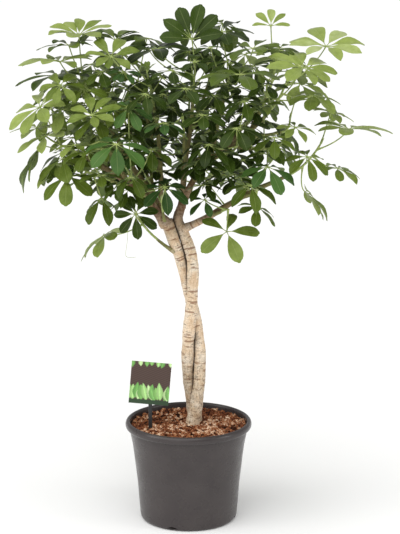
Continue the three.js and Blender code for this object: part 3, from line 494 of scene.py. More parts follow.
def wood_points():
    """Points along the wood and the green stems, with the radius to keep clear of."""
    at, radius, owner = [], [], []

    def follow(curve, radius_at, name):
        steps = math.ceil(length_of(curve) / WOOD_STEP)
        for i in range(steps + 1):
            at.append(curve(i / steps))
            radius.append(radius_at(i / steps))
            owner.append(name)
    for shoot in SHOOTS:
        root, end = shoot["wood"]
        follow(shoot["limb"], lambda t: root + (end - root) * t, "")
        follow(shoot["green"], lambda t: SHOOT_RADIUS, shoot["name"])
    for stem in STEMS.values():
        follow(stem["line"], lambda t: STEM_RADIUS, "")
    return {"at": np.array(at), "radius": np.array(radius), "owner": np.array(owner)}


def rule_leaf(shoot, index, total, draw):
    """A leaf placed by rule: round the shoot by the golden angle, drawn to the crown's outside."""
    tip = shoot["green"](1)
    outward = math.degrees(math.atan2(tip[1], tip[0]))
    around = ((index * GOLDEN_ANGLE + 40) % 360 - 180) * 0.62
    facing = outward + around + 20 * (draw() - 0.5)
    rise = math.radians(66 - 78 * index / total + 8 * (draw() - 0.5))
    foot_at = 1 - 0.6 * index / total
    stalk = 78 + 12 * index + 16 * draw()
    heading = heading_of(math.radians(facing), rise)
    return {"hub": shoot["green"](foot_at) + heading * stalk, "reach": 68 + 24 * draw(),
            "tilt": 14 + 5 * index + 8 * draw(), "facing": facing, "droop": 14 + 3 * index + 12 * draw(),
            "count": 7, "spin": 0, "spread": SPREAD, "foot": shoot["green"](foot_at)}


def hand_leaf(shoot, row, index, total):
    """A leaf placed as given, from its row in the shoot's table."""
    x, y, z, reach, tilt, facing, droop, count, spin, spread = (*row, *(0, SPREAD)[len(row) - 8:])
    return {"hub": array(x, y, z), "reach": reach, "tilt": tilt, "facing": facing, "droop": droop,
            "count": count, "spin": spin, "spread": spread,
            "foot": shoot["green"](1 - 0.75 * index / total)}


def is_crowded(leaf, grown, wood):
    """Whether a small inner leaf would cut through what has already grown."""
    for other in grown:
        if np.linalg.norm(leaf["hub"] - other["hub"]) > leaf["reach"] + other["reach"]:
            continue
        if any(inside_blade(blade, other_leaf[points], room)
               for points, room in (("samples", FILLER_CLEAR), ("stalk_samples", FILLER_STALK_CLEAR))
               for blade, other_leaf in ((other, leaf), (leaf, other))):
            return True
    return inside_blade(leaf, wood["at"], wood["radius"] + FILLER_WOOD_CLEAR)


def fill_crown(grown, wood):
    """Small leaves on the wood, inside the crown, where the larger ones leave it open, their colour darkened
    with painted shade.
    """
    draw = seeded(FILLER_SEED)
    for shoot in SHOOTS:
        added = 0
        for _ in range(FILLER_TRIES):
            t = 1.5 * draw()
            foot = shoot["limb"](0.3 + 0.7 * t) if t < 1 else shoot["green"](1.4 * (t - 1))
            turn, rise = 2 * math.pi * draw(), math.radians(75 * draw() - 15)
            meant = {"foot": foot, "hub": foot + heading_of(turn, rise) * (36 + 40 * draw()),
                     "reach": 46 + 26 * draw(), "tilt": 4 + 26 * draw(), "facing": math.degrees(turn),
                     "droop": 8 + 22 * draw(), "count": 6, "spin": 0, "spread": SPREAD}
            outside = (((meant["hub"] - CROWN_MIDDLE) / CROWN_SIZE) ** 4).sum() > 1
            before_fork = meant["hub"][2] < FORK_TOP and meant["hub"][1] < FORK_FRONT
            if outside or before_fork or added == FILLERS:
                continue
            leaf = grow_leaf(shoot, meant, draw)
            add_samples(leaf)
            if not is_crowded(leaf, grown, wood):
                young = min(1, max(0, (-leaf["hub"][0] - 90) / 120))  # painted light: paler towards the left, where light falls on the crown
                # painted shade: these inner leaves get low tones, for the shade inside the crown
                leaf["tone"] = 0.1 + 0.2 * draw() + 0.5 * young
                grown.append(leaf)
                added += 1


def grow_crown():
    """Each leaf is tried as meant, then turned, moved and made smaller until it is clear."""
    draw = seeded(CROWN_SEED)
    wood = wood_points()
    grown = []
    for shoot in SHOOTS:
        by_rule = isinstance(shoot["leaves"], int)
        rows = [None] * shoot["leaves"] if by_rule else shoot["leaves"]
        for index, row in enumerate(rows):
            meant = (rule_leaf(shoot, index, len(rows), draw) if by_rule
                     else hand_leaf(shoot, row, index, len(rows)))
            wander = 2.2 if by_rule else 1
            for attempt in range(TRIES):
                shift = array(draw() - 0.5, draw() - 0.5, draw() - 0.5) * (wander * attempt)
                tried = {**meant, "hub": meant["hub"] + shift,
                         "reach": meant["reach"] * (1 - 0.006 * attempt),
                         "tilt": meant["tilt"] + 0.7 * attempt * (draw() - 0.5),
                         "spin": meant["spin"] + (attempt * 23) % 40 - (20 if attempt else 0)}
                leaf = grow_leaf(shoot, tried, draw)
                add_samples(leaf)
                if not is_blocked(leaf, grown, wood):
                    leaf["index"] = index
                    grown.append(leaf)
                    break
    fill_crown(grown, wood)
    return grown


# ---- Nodes ------------------------------------------------------------------------------------
def linear(code):
    """An sRGB hex colour as linear RGBA."""
    parts = [int(code[i:i + 2], 16) / 255 for i in (1, 3, 5)]
    return (*(part / 12.92 if part <= 0.04045 else ((part + 0.055) / 1.055) ** 2.4
              for part in parts), 1)


def scale_for(size):
    """The scale that gives a noise lumps of about this size in millimetres."""
    return 1 / (size * MM)


def connect(node, inputs):
    """Links or sets a node's inputs in use: by name from a dict, and otherwise in their order."""
    in_use = [socket for socket in node.inputs if socket.enabled]
    if isinstance(inputs, dict):
        named = {socket.name: socket for socket in in_use}
        pairs = [(named[name], value) for name, value in inputs.items()]
    else:
        pairs = zip(in_use, inputs)
    for socket, value in pairs:
        if isinstance(value, bpy.types.Node):
            value = next(output for output in value.outputs if output.enabled)
        if isinstance(value, bpy.types.NodeSocket):
            node.id_data.links.new(value, socket)
        else:
            socket.default_value = value


def add(tree, kind, inputs=(), stops=(), **settings):
    """Adds a node with its settings, the stops of its colour ramp, and its links or values."""
    made = tree.nodes.new(kind)
    for name, value in settings.items():
        setattr(made, name, value)
    if stops:
        elements = made.color_ramp.elements
        while len(elements) < len(stops):
            elements.new(1)
        for element, (place, colour) in zip(elements, stops):
            element.position, element.color = place, linear(colour)
    connect(made, inputs)
    return made


# ---- Materials --------------------------------------------------------------------------------
def new_material(name, **values):
    """A material with a principled surface, and that surface's node."""
    material = bpy.data.materials.new(name)
    material.use_nodes = True
    surface = material.node_tree.nodes["Principled BSDF"]
    for socket, value in values.items():
        surface.inputs[socket.replace("_", " ")].default_value = value
    return material, material.node_tree, surface


def waxed_leaf():
    """Leathery leaf under a waxed skin: satin gloss above, paler and matt below, a pale midrib."""
    material, tree, surface = new_material("waxed_leaf", IOR=1.45, Specular_IOR_Level=0.16)
    # the leaf's tone is its own, with painted light and shade from its place in the crown mixed in
    tone, old = (add(tree, "ShaderNodeAttribute", attribute_name=name).outputs["Fac"]
                 for name in ("tone", "old"))
    blade = add(tree, "ShaderNodeAttribute", attribute_name="blade").outputs["Vector"]
    along, across, under = add(tree, "ShaderNodeSeparateXYZ", (blade,)).outputs
    where = add(tree, "ShaderNodeTexCoord").outputs["Object"]
    mottle = add(tree, "ShaderNodeTexNoise", (where, scale_for(14), 3, 0.55))
    darker = add(tree, "ShaderNodeMath", (tone, 0.11), operation="SUBTRACT")
    shade = add(tree, "ShaderNodeMath", (mottle, 0.22, darker), operation="MULTIPLY_ADD")
    upper = add(tree, "ShaderNodeValToRGB", (shade,), (
        (0, "#182406"), (0.3, "#344710"), (0.6, "#5B6D25"), (0.85, "#8F9F52"), (1, "#B8C489")))
    lower = add(tree, "ShaderNodeValToRGB", (shade,), (
        (0, "#3F4F28"), (0.5, "#6B7D48"), (1, "#A6B374")))
    # old leaves: a deeper green of their own, cooled as a painted sheen of their gloss
    aged_and_sheened = add(tree, "ShaderNodeValToRGB", (shade,), ((0, "#16290E"), (0.5, "#406A36")))
    ageing_and_sheen = add(tree, "ShaderNodeMath", (old, 0.6), operation="MULTIPLY")
    upper = add(tree, "ShaderNodeMix", (ageing_and_sheen, upper, aged_and_sheened), data_type="RGBA")
    # the midrib narrows towards the tip, and side veins leave it at even steps and at a slant
    off_rib = add(tree, "ShaderNodeMath", (across,), operation="ABSOLUTE")
    narrowing = add(tree, "ShaderNodeMath", (along, 0.035), operation="MULTIPLY")
    beside = add(tree, "ShaderNodeMath", (off_rib, narrowing), operation="ADD")
    rib = add(tree, "ShaderNodeMapRange", (beside, 0.04, 0.09, 1, 0), interpolation_type="SMOOTHSTEP")
    steps = add(tree, "ShaderNodeMath", (along, 11), operation="MULTIPLY")
    slope = add(tree, "ShaderNodeMath", (off_rib, 2.2), operation="MULTIPLY")
    slant = add(tree, "ShaderNodeMath", (steps, slope), operation="SUBTRACT")
    off_vein = add(tree, "ShaderNodeMath", (slant, 0.5), operation="PINGPONG")
    veins = add(tree, "ShaderNodeMapRange", (off_vein, 0.06, 0), interpolation_type="SMOOTHSTEP")
    pale_rib = add(tree, "ShaderNodeMath", (rib, 0.17), operation="MULTIPLY")
    pale_veins = add(tree, "ShaderNodeMath", (veins, 0.06), operation="MULTIPLY")
    pale = add(tree, "ShaderNodeMath", (pale_rib, pale_veins), operation="MAXIMUM")
    upper = add(tree, "ShaderNodeMix", (pale, upper, linear("#B4C080")), data_type="RGBA")
    raised_veins = add(tree, "ShaderNodeMath", (veins, 0.4), operation="MULTIPLY")
    relief = add(tree, "ShaderNodeMath", (rib, raised_veins), operation="ADD")
    connect(surface, {
        "Base Color": add(tree, "ShaderNodeMix", (under, upper, lower), data_type="RGBA"),
        "Roughness": add(tree, "ShaderNodeMapRange", (under, 0, 1, 0.3, 0.6),
                         interpolation_type="SMOOTHSTEP"),
        "Normal": add(tree, "ShaderNodeBump", {"Height": relief, "Distance": 0.35 * MM, "Strength": 0.7})})
    return material


def green_stalk():
    """Smooth young bark and petiole skin: pale green with slow streaks of a yellower green."""
    material, tree, surface = new_material("green_stalk", IOR=1.45, Roughness=0.45)
    where = add(tree, "ShaderNodeTexCoord").outputs["Object"]
    streak = add(tree, "ShaderNodeTexNoise", (where, scale_for(9), 3, 0.55))
    connect(surface, {"Base Color": add(tree, "ShaderNodeValToRGB", (streak,), (
        (0.3, "#768845"), (0.55, "#9DAD60"), (0.75, "#BBC07E")))})
    return material


def corky_bark():
    """Thin corky bark of an old stem: matt cream and tan, ringed with brown leaf scars, with painted shade
    along the seam of the two stems.
    """
    material, tree, surface = new_material("corky_bark", IOR=1.4, Roughness=0.8)
    where = add(tree, "ShaderNodeTexCoord").outputs["Object"]
    height = add(tree, "ShaderNodeSeparateXYZ", (where,)).outputs["Z"]
    bark = add(tree, "ShaderNodeAttribute", attribute_name="bark").outputs["Vector"]
    age, crevice = (add(tree, "ShaderNodeAttribute", attribute_name=name).outputs["Fac"]
                    for name in ("age", "crevice"))

    # each noise's place and how that is stretched, the size of its lumps, its detail and roughness
    patch, fine, streak, ring, speck, crust = (
        add(tree, "ShaderNodeTexNoise",
            (add(tree, "ShaderNodeVectorMath", (place, stretch), operation="MULTIPLY"),
             scale_for(size), detail, roughness))
        for place, stretch, size, detail, roughness in (
            (where, (1, 1, 1), 22, 3, 0.55), (where, (1, 1, 1), 2.2, 4, 0.65),
            (bark, (1, 1, 0.12), 1.4, 3, 0.55), (bark, (0.2, 0.2, 1), 7, 2, 0.6),
            (bark, (1, 1, 0.6), 3.4, 3, 0.7), (where, (1, 1, 1), 6.5, 3, 0.55)))
    off_level = add(tree, "ShaderNodeMath", (ring, 0.44), operation="SUBTRACT")
    crack_line = add(tree, "ShaderNodeMath", (off_level,), operation="ABSOLUTE")

    # each mark shows where its source goes from the first number to the second
    low, scars, crack, crack_patch, fibre, streaks, flecks, lichen, fork, fork_patch = (
        add(tree, "ShaderNodeMapRange", limits, interpolation_type="SMOOTHSTEP")
        for limits in (
            (height, 0.42, 0.27), (ring, 0.57, 0.64), (crack_line, 0.016, 0.004), (patch, 0.44, 0.54),
            (fine, 0.4, 0.72, 0, 0.5), (streak, 0.5, 0.7, 0, 0.45), (speck, 0.5, 0.66),
            (crust, 0.56, 0.66), (height, 0.6, 0.68), (patch, 0.35, 0.55, 0.5, 0.95)))
    cracks = add(tree, "ShaderNodeMath", (crack, crack_patch), operation="MULTIPLY")
    more_below = add(tree, "ShaderNodeMapRange", (low, 0, 1, 0.12, 0.75), interpolation_type="SMOOTHSTEP")
    only_below = add(tree, "ShaderNodeMath", (low, 0.6), operation="MULTIPLY")

    skin = add(tree, "ShaderNodeValToRGB", (patch,), (
        (0.3, "#CBA986"), (0.46, "#EBD3B5"), (0.66, "#F8EAD6")))
    for mark, share, tint in (
            (fibre, 1, "#A98865"), (streaks, 1, "#94765A"), (scars, 0.75, "#7F5538"),
            (cracks, 0.8, "#4E3A28"), (low, 0.38, "#A2927A"), (flecks, more_below, "#5E4C38"),
            (lichen, only_below, "#D8CCB4"), (fork, fork_patch, "#65452B")):
        cover = add(tree, "ShaderNodeMath", (mark, share), operation="MULTIPLY")
        skin = add(tree, "ShaderNodeMix", (cover, skin, linear(tint)), data_type="RGBA")
    young = add(tree, "ShaderNodeValToRGB", (patch,), ((0.4, "#66663A"), (0.6, "#8D8F55")))
    skin = add(tree, "ShaderNodeMix", (age, young, skin), data_type="RGBA")
    grain = add(tree, "ShaderNodeMath", (fine, 0.6), operation="MULTIPLY")
    marks = add(tree, "ShaderNodeMath", (scars, cracks), operation="ADD")
    sunk = add(tree, "ShaderNodeMath", (marks, -0.7), operation="MULTIPLY")
    relief = add(tree, "ShaderNodeMath", (grain, sunk), operation="ADD")
    # painted shade: the bark's colour goes to a dark brown along the seam between the two stems
    connect(surface, {
        "Base Color": add(tree, "ShaderNodeMix", (crevice, skin, linear("#2E2117")), data_type="RGBA"),
        "Normal": add(tree, "ShaderNodeBump", {"Height": relief, "Distance": 1 * MM, "Strength": 0.9})})
    return material


def moulded_polypropylene():
    """Recycled polypropylene from a mould: anthracite, satin, with faint flow marks.

    The mould's own grain is about 0.1 mm, too fine to show, so it is drawn 3 mm wide and faint.
    """
    material, tree, surface = new_material("moulded_polypropylene", IOR=1.49,
                                           Specular_IOR_Level=0.42)
    where = add(tree, "ShaderNodeTexCoord").outputs["Object"]
    cloud, flow, grain = (add(tree, "ShaderNodeTexNoise", (where, scale_for(size), detail, 0.55))
                          for size, detail in ((60, 3), (22, 2), (3, 2)))
    connect(surface, {
        "Base Color": add(tree, "ShaderNodeValToRGB", (cloud,), ((0.3, "#363030"), (0.7, "#3E3837"))),
        "Roughness": add(tree, "ShaderNodeMapRange", (flow, 0.3, 0.7, 0.24, 0.34),
                         interpolation_type="SMOOTHSTEP"),
        "Normal": add(tree, "ShaderNodeBump", {"Height": grain, "Distance": 0.04 * MM, "Strength": 0.3})})
    return material


def composted_bark():
    """Composted bark: matt red-brown chips, each of another shade, with pale broken edges and slow patches
    of painted shade.
    """
    material, tree, surface = new_material("composted_bark", IOR=1.4, Roughness=0.8,
                                           Specular_IOR_Level=0.25)
    tint = add(tree, "ShaderNodeAttribute", attribute_name="tint").outputs["Fac"]
    where = add(tree, "ShaderNodeTexCoord").outputs["Object"]
    mottle, slow_patches, fibre = (add(tree, "ShaderNodeTexNoise", (where, scale_for(size), detail, 0.55))
                          for size, detail in ((3, 3), (38, 2), (2, 4)))
    # painted shade: slow patches where the chips are darker, as in the bed's shaded hollows
    varied, painted_hollow_shade = (add(tree, "ShaderNodeMapRange", limits, interpolation_type="SMOOTHSTEP")
                    for limits in ((mottle, 0.3, 0.7, -0.2, 0.2), (slow_patches, 0.4, 0.6, -0.3, 0.02)))
    shade = add(tree, "ShaderNodeMath", (tint, varied), operation="ADD")
    shade = add(tree, "ShaderNodeMath", (shade, painted_hollow_shade), operation="ADD")
    connect(surface, {
        "Base Color": add(tree, "ShaderNodeValToRGB", (shade,), (
            (0, "#180A05"), (0.3, "#43200F"), (0.6, "#7C4427"), (0.85, "#AD7750"), (1, "#E4C9AE"))),
        "Normal": add(tree, "ShaderNodeBump", {"Height": fibre, "Distance": 0.8 * MM, "Strength": 0.8})})
    return material


def printed_card():
    """Printed card under a gloss film: the print's colours are laid down point by point.

    The card's fibres are too fine to show, so they are drawn 3 mm wide.
    """
    material, tree, surface = new_material("printed_card", IOR=1.5, Roughness=0.3)
    where = add(tree, "ShaderNodeTexCoord").outputs["Object"]
    fibre = add(tree, "ShaderNodeTexNoise", (where, scale_for(3), 3, 0.55))
    connect(surface, {
        "Base Color": add(tree, "ShaderNodeAttribute", attribute_name="ink").outputs["Color"],
        "Normal": add(tree, "ShaderNodeBump", {"Height": fibre, "Distance": 0.03 * MM, "Strength": 0.4})})
    return material


def black_polystyrene():
    """Moulded polystyrene of a label stake: black, half gloss, faint sink marks."""
    material, tree, surface = new_material("black_polystyrene", IOR=1.55, Roughness=0.42)
    where = add(tree, "ShaderNodeTexCoord").outputs["Object"]
    sink = add(tree, "ShaderNodeTexNoise", (where, scale_for(8), 3, 0.55))
    connect(surface, {
        "Base Color": add(tree, "ShaderNodeValToRGB", (sink,), ((0.3, "#171717"), (0.7, "#222222"))),
        "Normal": add(tree, "ShaderNodeBump", {"Height": sink, "Distance": 0.1 * MM, "Strength": 0.3})})
    return material


LEAF, STALK, BARK = waxed_leaf(), green_stalk(), corky_bark()
POT_PLASTIC, CHIPS = moulded_polypropylene(), composted_bark()
CARD_STOCK, STAKE_PLASTIC = printed_card(), black_polystyrene()


# ---- Geometry node trees ----------------------------------------------------------------------
def new_tree(name, sockets):
    """A geometry tree with named inputs, and its input node's outputs."""
    tree = bpy.data.node_groups.new(name, "GeometryNodeTree")
    tree.interface.new_socket("Geometry", in_out="INPUT", socket_type="NodeSocketGeometry")
    tree.interface.new_socket("Geometry", in_out="OUTPUT", socket_type="NodeSocketGeometry")
    for label, kind in sockets.items():
        tree.interface.new_socket(label, in_out="INPUT", socket_type="NodeSocket" + kind)
    return tree, add(tree, "NodeGroupInput").outputs


def finish_tree(tree, pieces):
    """Joins the pieces and hands them out."""
    join = add(tree, "GeometryNodeJoinGeometry")
    for piece in pieces:
        connect(join, (piece,))
    add(tree, "NodeGroupOutput", {"Geometry": join})


def leafy_shoot_tree():
    """Sweeps a round section along each stalk line, and sets a leaflet on each leaflet point."""
    tree, given = new_tree("leafy_shoot", {
        "Leaflets": "Collection", "Stalk Sides": "Int",
        "Leaf Finish": "Material", "Stalk Finish": "Material"})
    length, thick, turn, shape = (
        add(tree, "GeometryNodeInputNamedAttribute", {"Name": name}, data_type=kind)
        for name, kind in (("length", "FLOAT"), ("thick", "FLOAT"), ("turn", "FLOAT_VECTOR"),
                           ("shape", "INT")))
    is_leaflet = add(tree, "FunctionNodeCompare", (length, 0.0), operation="GREATER_THAN")
    parts = add(tree, "GeometryNodeSeparateGeometry",
                {"Geometry": given["Geometry"], "Selection": is_leaflet}).outputs
    leaflets = add(tree, "GeometryNodeInstanceOnPoints", {
        "Points": parts["Selection"],
        "Instance": add(tree, "GeometryNodeCollectionInfo", {
            "Collection": given["Leaflets"], "Separate Children": True, "Reset Children": True}),
        "Pick Instance": True, "Instance Index": shape,
        "Rotation": add(tree, "FunctionNodeEulerToRotation", (turn,)), "Scale": length})
    leaflets = add(tree, "GeometryNodeRealizeInstances", {"Geometry": leaflets})
    leaflets = add(tree, "GeometryNodeSetMaterial",
                   {"Geometry": leaflets, "Material": given["Leaf Finish"]})
    section = add(tree, "GeometryNodeCurvePrimitiveCircle",
                  {"Resolution": given["Stalk Sides"], "Radius": 1.0})
    stalks = add(tree, "GeometryNodeCurveToMesh", {
        "Curve": add(tree, "GeometryNodeMeshToCurve", {"Mesh": parts["Inverted"]}),
        "Profile Curve": section, "Scale": thick, "Fill Caps": True})
    stalks = add(tree, "GeometryNodeSetShadeSmooth", {"Geometry": stalks})
    stalks = add(tree, "GeometryNodeSetMaterial",
                 {"Geometry": stalks, "Material": given["Stalk Finish"]})
    finish_tree(tree, [leaflets, stalks])
    return tree


def mulch_tree():
    """Strews chips over the top of a bed of soil, each turned, sized and tinted at random."""
    tree, given = new_tree("mulch", {
        "Chips": "Collection", "Last Chip": "Int", "Chips per m2": "Float", "Bed Radius": "Float",
        "Bed Level": "Float", "Smallest": "Float", "Largest": "Float", "Seed": "Int",
        "Finish": "Material"})
    x, y, z = add(tree, "ShaderNodeSeparateXYZ", (add(tree, "GeometryNodeInputPosition"),)).outputs
    flat = add(tree, "ShaderNodeCombineXYZ", (x, y))
    away = add(tree, "ShaderNodeVectorMath", (flat,), operation="LENGTH")
    within = add(tree, "FunctionNodeCompare", (away, given["Bed Radius"]), operation="LESS_THAN")
    high = add(tree, "FunctionNodeCompare", (z, given["Bed Level"]), operation="GREATER_THAN")
    points = add(tree, "GeometryNodeDistributePointsOnFaces", {
        "Mesh": given["Geometry"], "Density": given["Chips per m2"], "Seed": given["Seed"],
        "Selection": add(tree, "FunctionNodeBooleanMath", (within, high), operation="AND")})
    tilt, size, tint, pick = (
        add(tree, "FunctionNodeRandomValue", {"Min": least, "Max": most, "Seed": given["Seed"]},
            data_type=kind)
        for kind, least, most in (
            ("FLOAT_VECTOR", (-0.7, -0.7, -math.pi), (0.7, 0.7, math.pi)),
            ("FLOAT", given["Smallest"], given["Largest"]), ("FLOAT", 0.05, 0.98),
            ("INT", 0, given["Last Chip"])))
    chips = add(tree, "GeometryNodeInstanceOnPoints", {
        "Points": points,
        "Instance": add(tree, "GeometryNodeCollectionInfo", {
            "Collection": given["Chips"], "Separate Children": True, "Reset Children": True}),
        "Pick Instance": True, "Instance Index": pick,
        "Rotation": add(tree, "FunctionNodeEulerToRotation", (tilt,)), "Scale": size})
    chips = add(tree, "GeometryNodeStoreNamedAttribute",
                {"Geometry": chips, "Name": "tint", "Value": tint}, domain="INSTANCE")
    chips = add(tree, "GeometryNodeRealizeInstances", {"Geometry": chips})
    finish_tree(tree, [add(tree, "GeometryNodeSetMaterial",
                           {"Geometry": piece, "Material": given["Finish"]})
                       for piece in (chips, given["Geometry"])])
    return tree


def plain_mesh(made, tree=None, values=None):
    """Runs a tree on an object, and any other modifier, and keeps the result as a plain mesh."""
    if tree:
        modifier = made.modifiers.new(tree.name, "NODES")
        modifier.node_group = tree
        names = {item.name: item.identifier for item in tree.interface.items_tree
                 if item.in_out == "INPUT"}
        for label, value in values.items():
            modifier[names[label]] = value
    bpy.context.view_layer.update()
    graph = bpy.context.evaluated_depsgraph_get()
    mesh = bpy.data.meshes.new_from_object(made.evaluated_get(graph), depsgraph=graph)
    old = made.data
    made.modifiers.clear()
    made.data = mesh
    bpy.data.meshes.remove(old)
    mesh.name = made.name
    return made


def hand_over(piece, slot, *nodes):
    """Makes the piece part of the plant, in place of the solids that it stands for."""
    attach(piece, "root")
    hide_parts(*nodes)


def shapes_collection(name, objects):
    """Keeps the shapes that a tree sets out, apart from the scene's own pieces."""
    collection = bpy.data.collections.new(name)
    for made in objects:
        collection.objects.link(made)
        bpy.context.collection.objects.unlink(made)
    return collection


def drop_shapes(collection):
    for made in list(collection.objects):
        bpy.data.objects.remove(made)
    bpy.data.collections.remove(collection)


# ---- Leafy shoots -----------------------------------------------------------------------------
# A leaflet's outline: how far along it, and its half width there as a share of the widest.
BLADE_ROWS = ((0.14, 0.05), (0.22, 0.2), (0.33, 0.47), (0.46, 0.75), (0.58, 0.93), (0.68, 1.0),
              (0.79, 0.97), (0.89, 0.82), (0.96, 0.58), (1.0, 0.3))
BLADE_COLUMNS = (-1, -0.55, 0, 0.55, 1)
LEAFLET_SHAPES, STALK_SIDES = 6, 7
BLADE_THICKNESS = 0.007  # at the rib, as a share of the leaflet's length


def leaflet_shape(number):
    """One leaflet, a metre long from the hub: a folded, arched and slightly wavy blade."""
    draw = seeded(FIRST_LEAFLET_SEED + number)
    fold, curl = 0.2 + 0.3 * draw(), 0.1 + 0.16 * draw()
    point, nod = 0.5 * (number % 2) * (0.6 + 0.4 * draw()), 0.25 * draw()
    wave, phase, lean = 0.012 + 0.01 * draw(), 6.3 * draw(), 0.05 * (draw() - 0.5)
    upper, lower, places = [], [], []
    for u, width in BLADE_ROWS:
        width *= 1 - point * u ** 5
        half = HALF_WIDTH * width
        for v in BLADE_COLUMNS:
            edge = abs(v)
            along = u - 0.05 * v * v * u ** 8 - (0.016 if v == 0 and u == 1 else 0)
            rise = (4 * ARCH * u * (1 - u) + fold * edge * half - curl * edge ** 2 * half
                    + wave * edge * math.sin(9 * u + phase + (2 if v > 0 else 0)) * width
                    + lean * v * width * 0.3 - nod * max(0, u - 0.55) ** 2)
            thin = BLADE_THICKNESS * (1 - 0.6 * edge)
            upper.append((along, half * v + lean * u * u, rise))
            lower.append((along, half * v + lean * u * u, rise - thin))
            places.append((u, v))
    rows, columns = len(BLADE_ROWS), len(BLADE_COLUMNS)
    count = rows * columns
    faces, rim = [], []
    for row in range(rows - 1):
        for column in range(columns - 1):
            a = row * columns + column
            b, c, d = a + 1, a + columns + 1, a + columns
            faces.append((a, d, c, b))
            faces.append((a + count, b + count, c + count, d + count))
    border = ([row * columns for row in range(rows)]
              + [(rows - 1) * columns + column for column in range(1, columns)]
              + [row * columns + columns - 1 for row in reversed(range(rows - 1))]
              + [column for column in reversed(range(1, columns - 1))])
    for start, end in zip(border, border[1:] + border[:1]):
        rim.append((start, start + count, end + count, end))
    mesh = bpy.data.meshes.new(f"leaflet_{number}")
    mesh.from_pydata(upper + lower, [], faces + rim)
    mesh.polygons.foreach_set("use_smooth", [True] * len(faces) + [False] * len(rim))
    give(mesh, "blade", "FLOAT_VECTOR", [(u, v, 0) for u, v in places] + [(u, v, 1) for u, v in places])
    made = bpy.data.objects.new(mesh.name, mesh)
    bpy.context.collection.objects.link(made)
    return made


# A dried leaf stalk that hangs from the sucker, in millimetres.
DRY_STALK = ((-118, -50, 668), (-123, -50, 652), (-124, -51, 635), (-126, -52, 612), (-129, -52, 590),
             (-127, -52, 583), (-118, -51, 581), (-108, -50, 582))


def stalk_lines(shoot, leaves):
    """The lines of a shoot's green stem, petioles and petiolules, with a radius at each point."""
    green = shoot["green"]
    ring = lambda t: 0.35 * math.exp(-((t * 5 % 1) - 0.5) ** 2 * 60)
    lines = [[(green(t), SHOOT_RADIUS - 0.7 * t + ring(t)) for t in np.linspace(0, 1, 26)]]
    bud = green(1) + unit(green(1) - green(0.9)) * 13
    lines.append([(green(1) + (bud - green(1)) * t, 2.1 * (1 - t) ** 0.7 + 0.12)
                  for t in np.linspace(0, 1, 5)])
    for leaf in leaves:
        swell = lambda t: (PETIOLE_RADIUS - 0.35 * t + 1.3 * math.exp(-(t * leaf["away"] / 7) ** 2)
                           + 0.7 * math.exp(-((1 - t) * leaf["away"] / 4) ** 2))
        lines.append([(leaf["stalk"](t), swell(t)) for t in np.linspace(0, 1, 13)])
        for along, face, length in zip(leaf["along"], leaf["face"], leaf["length"]):
            lines.append([(leaf["hub"] + along * u * length
                           + face * (4 * ARCH * u * (1 - u) - 0.004) * length, 1.05 - 2.0 * u)
                          for u in (0, 0.06, 0.12, 0.2, 0.3)])
    if shoot["name"] == "sucker":
        dried = smooth_curve(DRY_STALK)
        lines.append([(dried(t), 0.35) for t in np.linspace(0, 1, 24)])
    return lines


# What the tree reads at each point: its kind, and its value where none is given.
POINT_FIELDS = {"thick": ("FLOAT", 0), "length": ("FLOAT", 0), "turn": ("FLOAT_VECTOR", (0, 0, 0)),
                "tone": ("FLOAT", 0.5), "old": ("FLOAT", 0), "shape": ("INT", 0)}


def leafy_shoot(shoot, leaves, tree, leaflets, draw):
    """A leafy shoot: its points and lines are laid out here, and the tree clothes them."""
    points, edges, fields = [], [], {name: [] for name in POINT_FIELDS}

    def put(point, **values):
        points.append(point)
        for name, (_, usual) in POINT_FIELDS.items():
            fields[name].append(values.get(name, usual))
    for line in stalk_lines(shoot, leaves):
        edges += [(len(points) + i, len(points) + i + 1) for i in range(len(line) - 1)]
        for point, radius in line:
            put(point, thick=radius * MM)
    # the listed tones hold painted light and shade as well as each leaf's own tone
    shades = LEAF_TONES_AND_LIGHT.get(shoot["name"])
    for leaf in leaves:
        base = leaf.get("tone") or (shades[leaf["index"]] if shades else 0.28 + 0.3 * draw())
        for along, across, face, reach in zip(*(leaf[key] for key in ("along", "across", "face", "length"))):
            turned = Matrix((along, across, face)).transposed().to_euler()
            put(leaf["hub"], length=reach * MM, turn=tuple(turned), shape=int(LEAFLET_SHAPES * draw()),
                tone=base + 0.2 * (draw() - 0.5), old=(shoot["name"], leaf.get("index")) in OLD_SHEENED_LEAVES)
    mesh = bpy.data.meshes.new(shoot["name"])
    mesh.from_pydata((np.array(points) * MM).tolist(), edges, [])
    for name, (kind, _) in POINT_FIELDS.items():
        give(mesh, name, kind, fields[name])
    made = bpy.data.objects.new("leafy_" + shoot["name"], mesh)
    bpy.context.collection.objects.link(made)
    plain_mesh(made, tree, {"Leaflets": leaflets, "Stalk Sides": STALK_SIDES,
                            "Leaf Finish": LEAF, "Stalk Finish": STALK})
    hand_over(made, "foliage", "shoot_" + shoot["name"])


def grow_shoots():
    """All the leafy shoots, one piece each."""
    draw = seeded(TONE_SEED)
    leaflets = shapes_collection("leaflets", [leaflet_shape(i) for i in range(LEAFLET_SHAPES)])
    tree = leafy_shoot_tree()
    leaves = grow_crown()
    for shoot in SHOOTS:
        mine = [leaf for leaf in leaves if leaf["shoot"] == shoot["name"]]
        leafy_shoot(shoot, mine, tree, leaflets, draw)
    drop_shapes(leaflets)


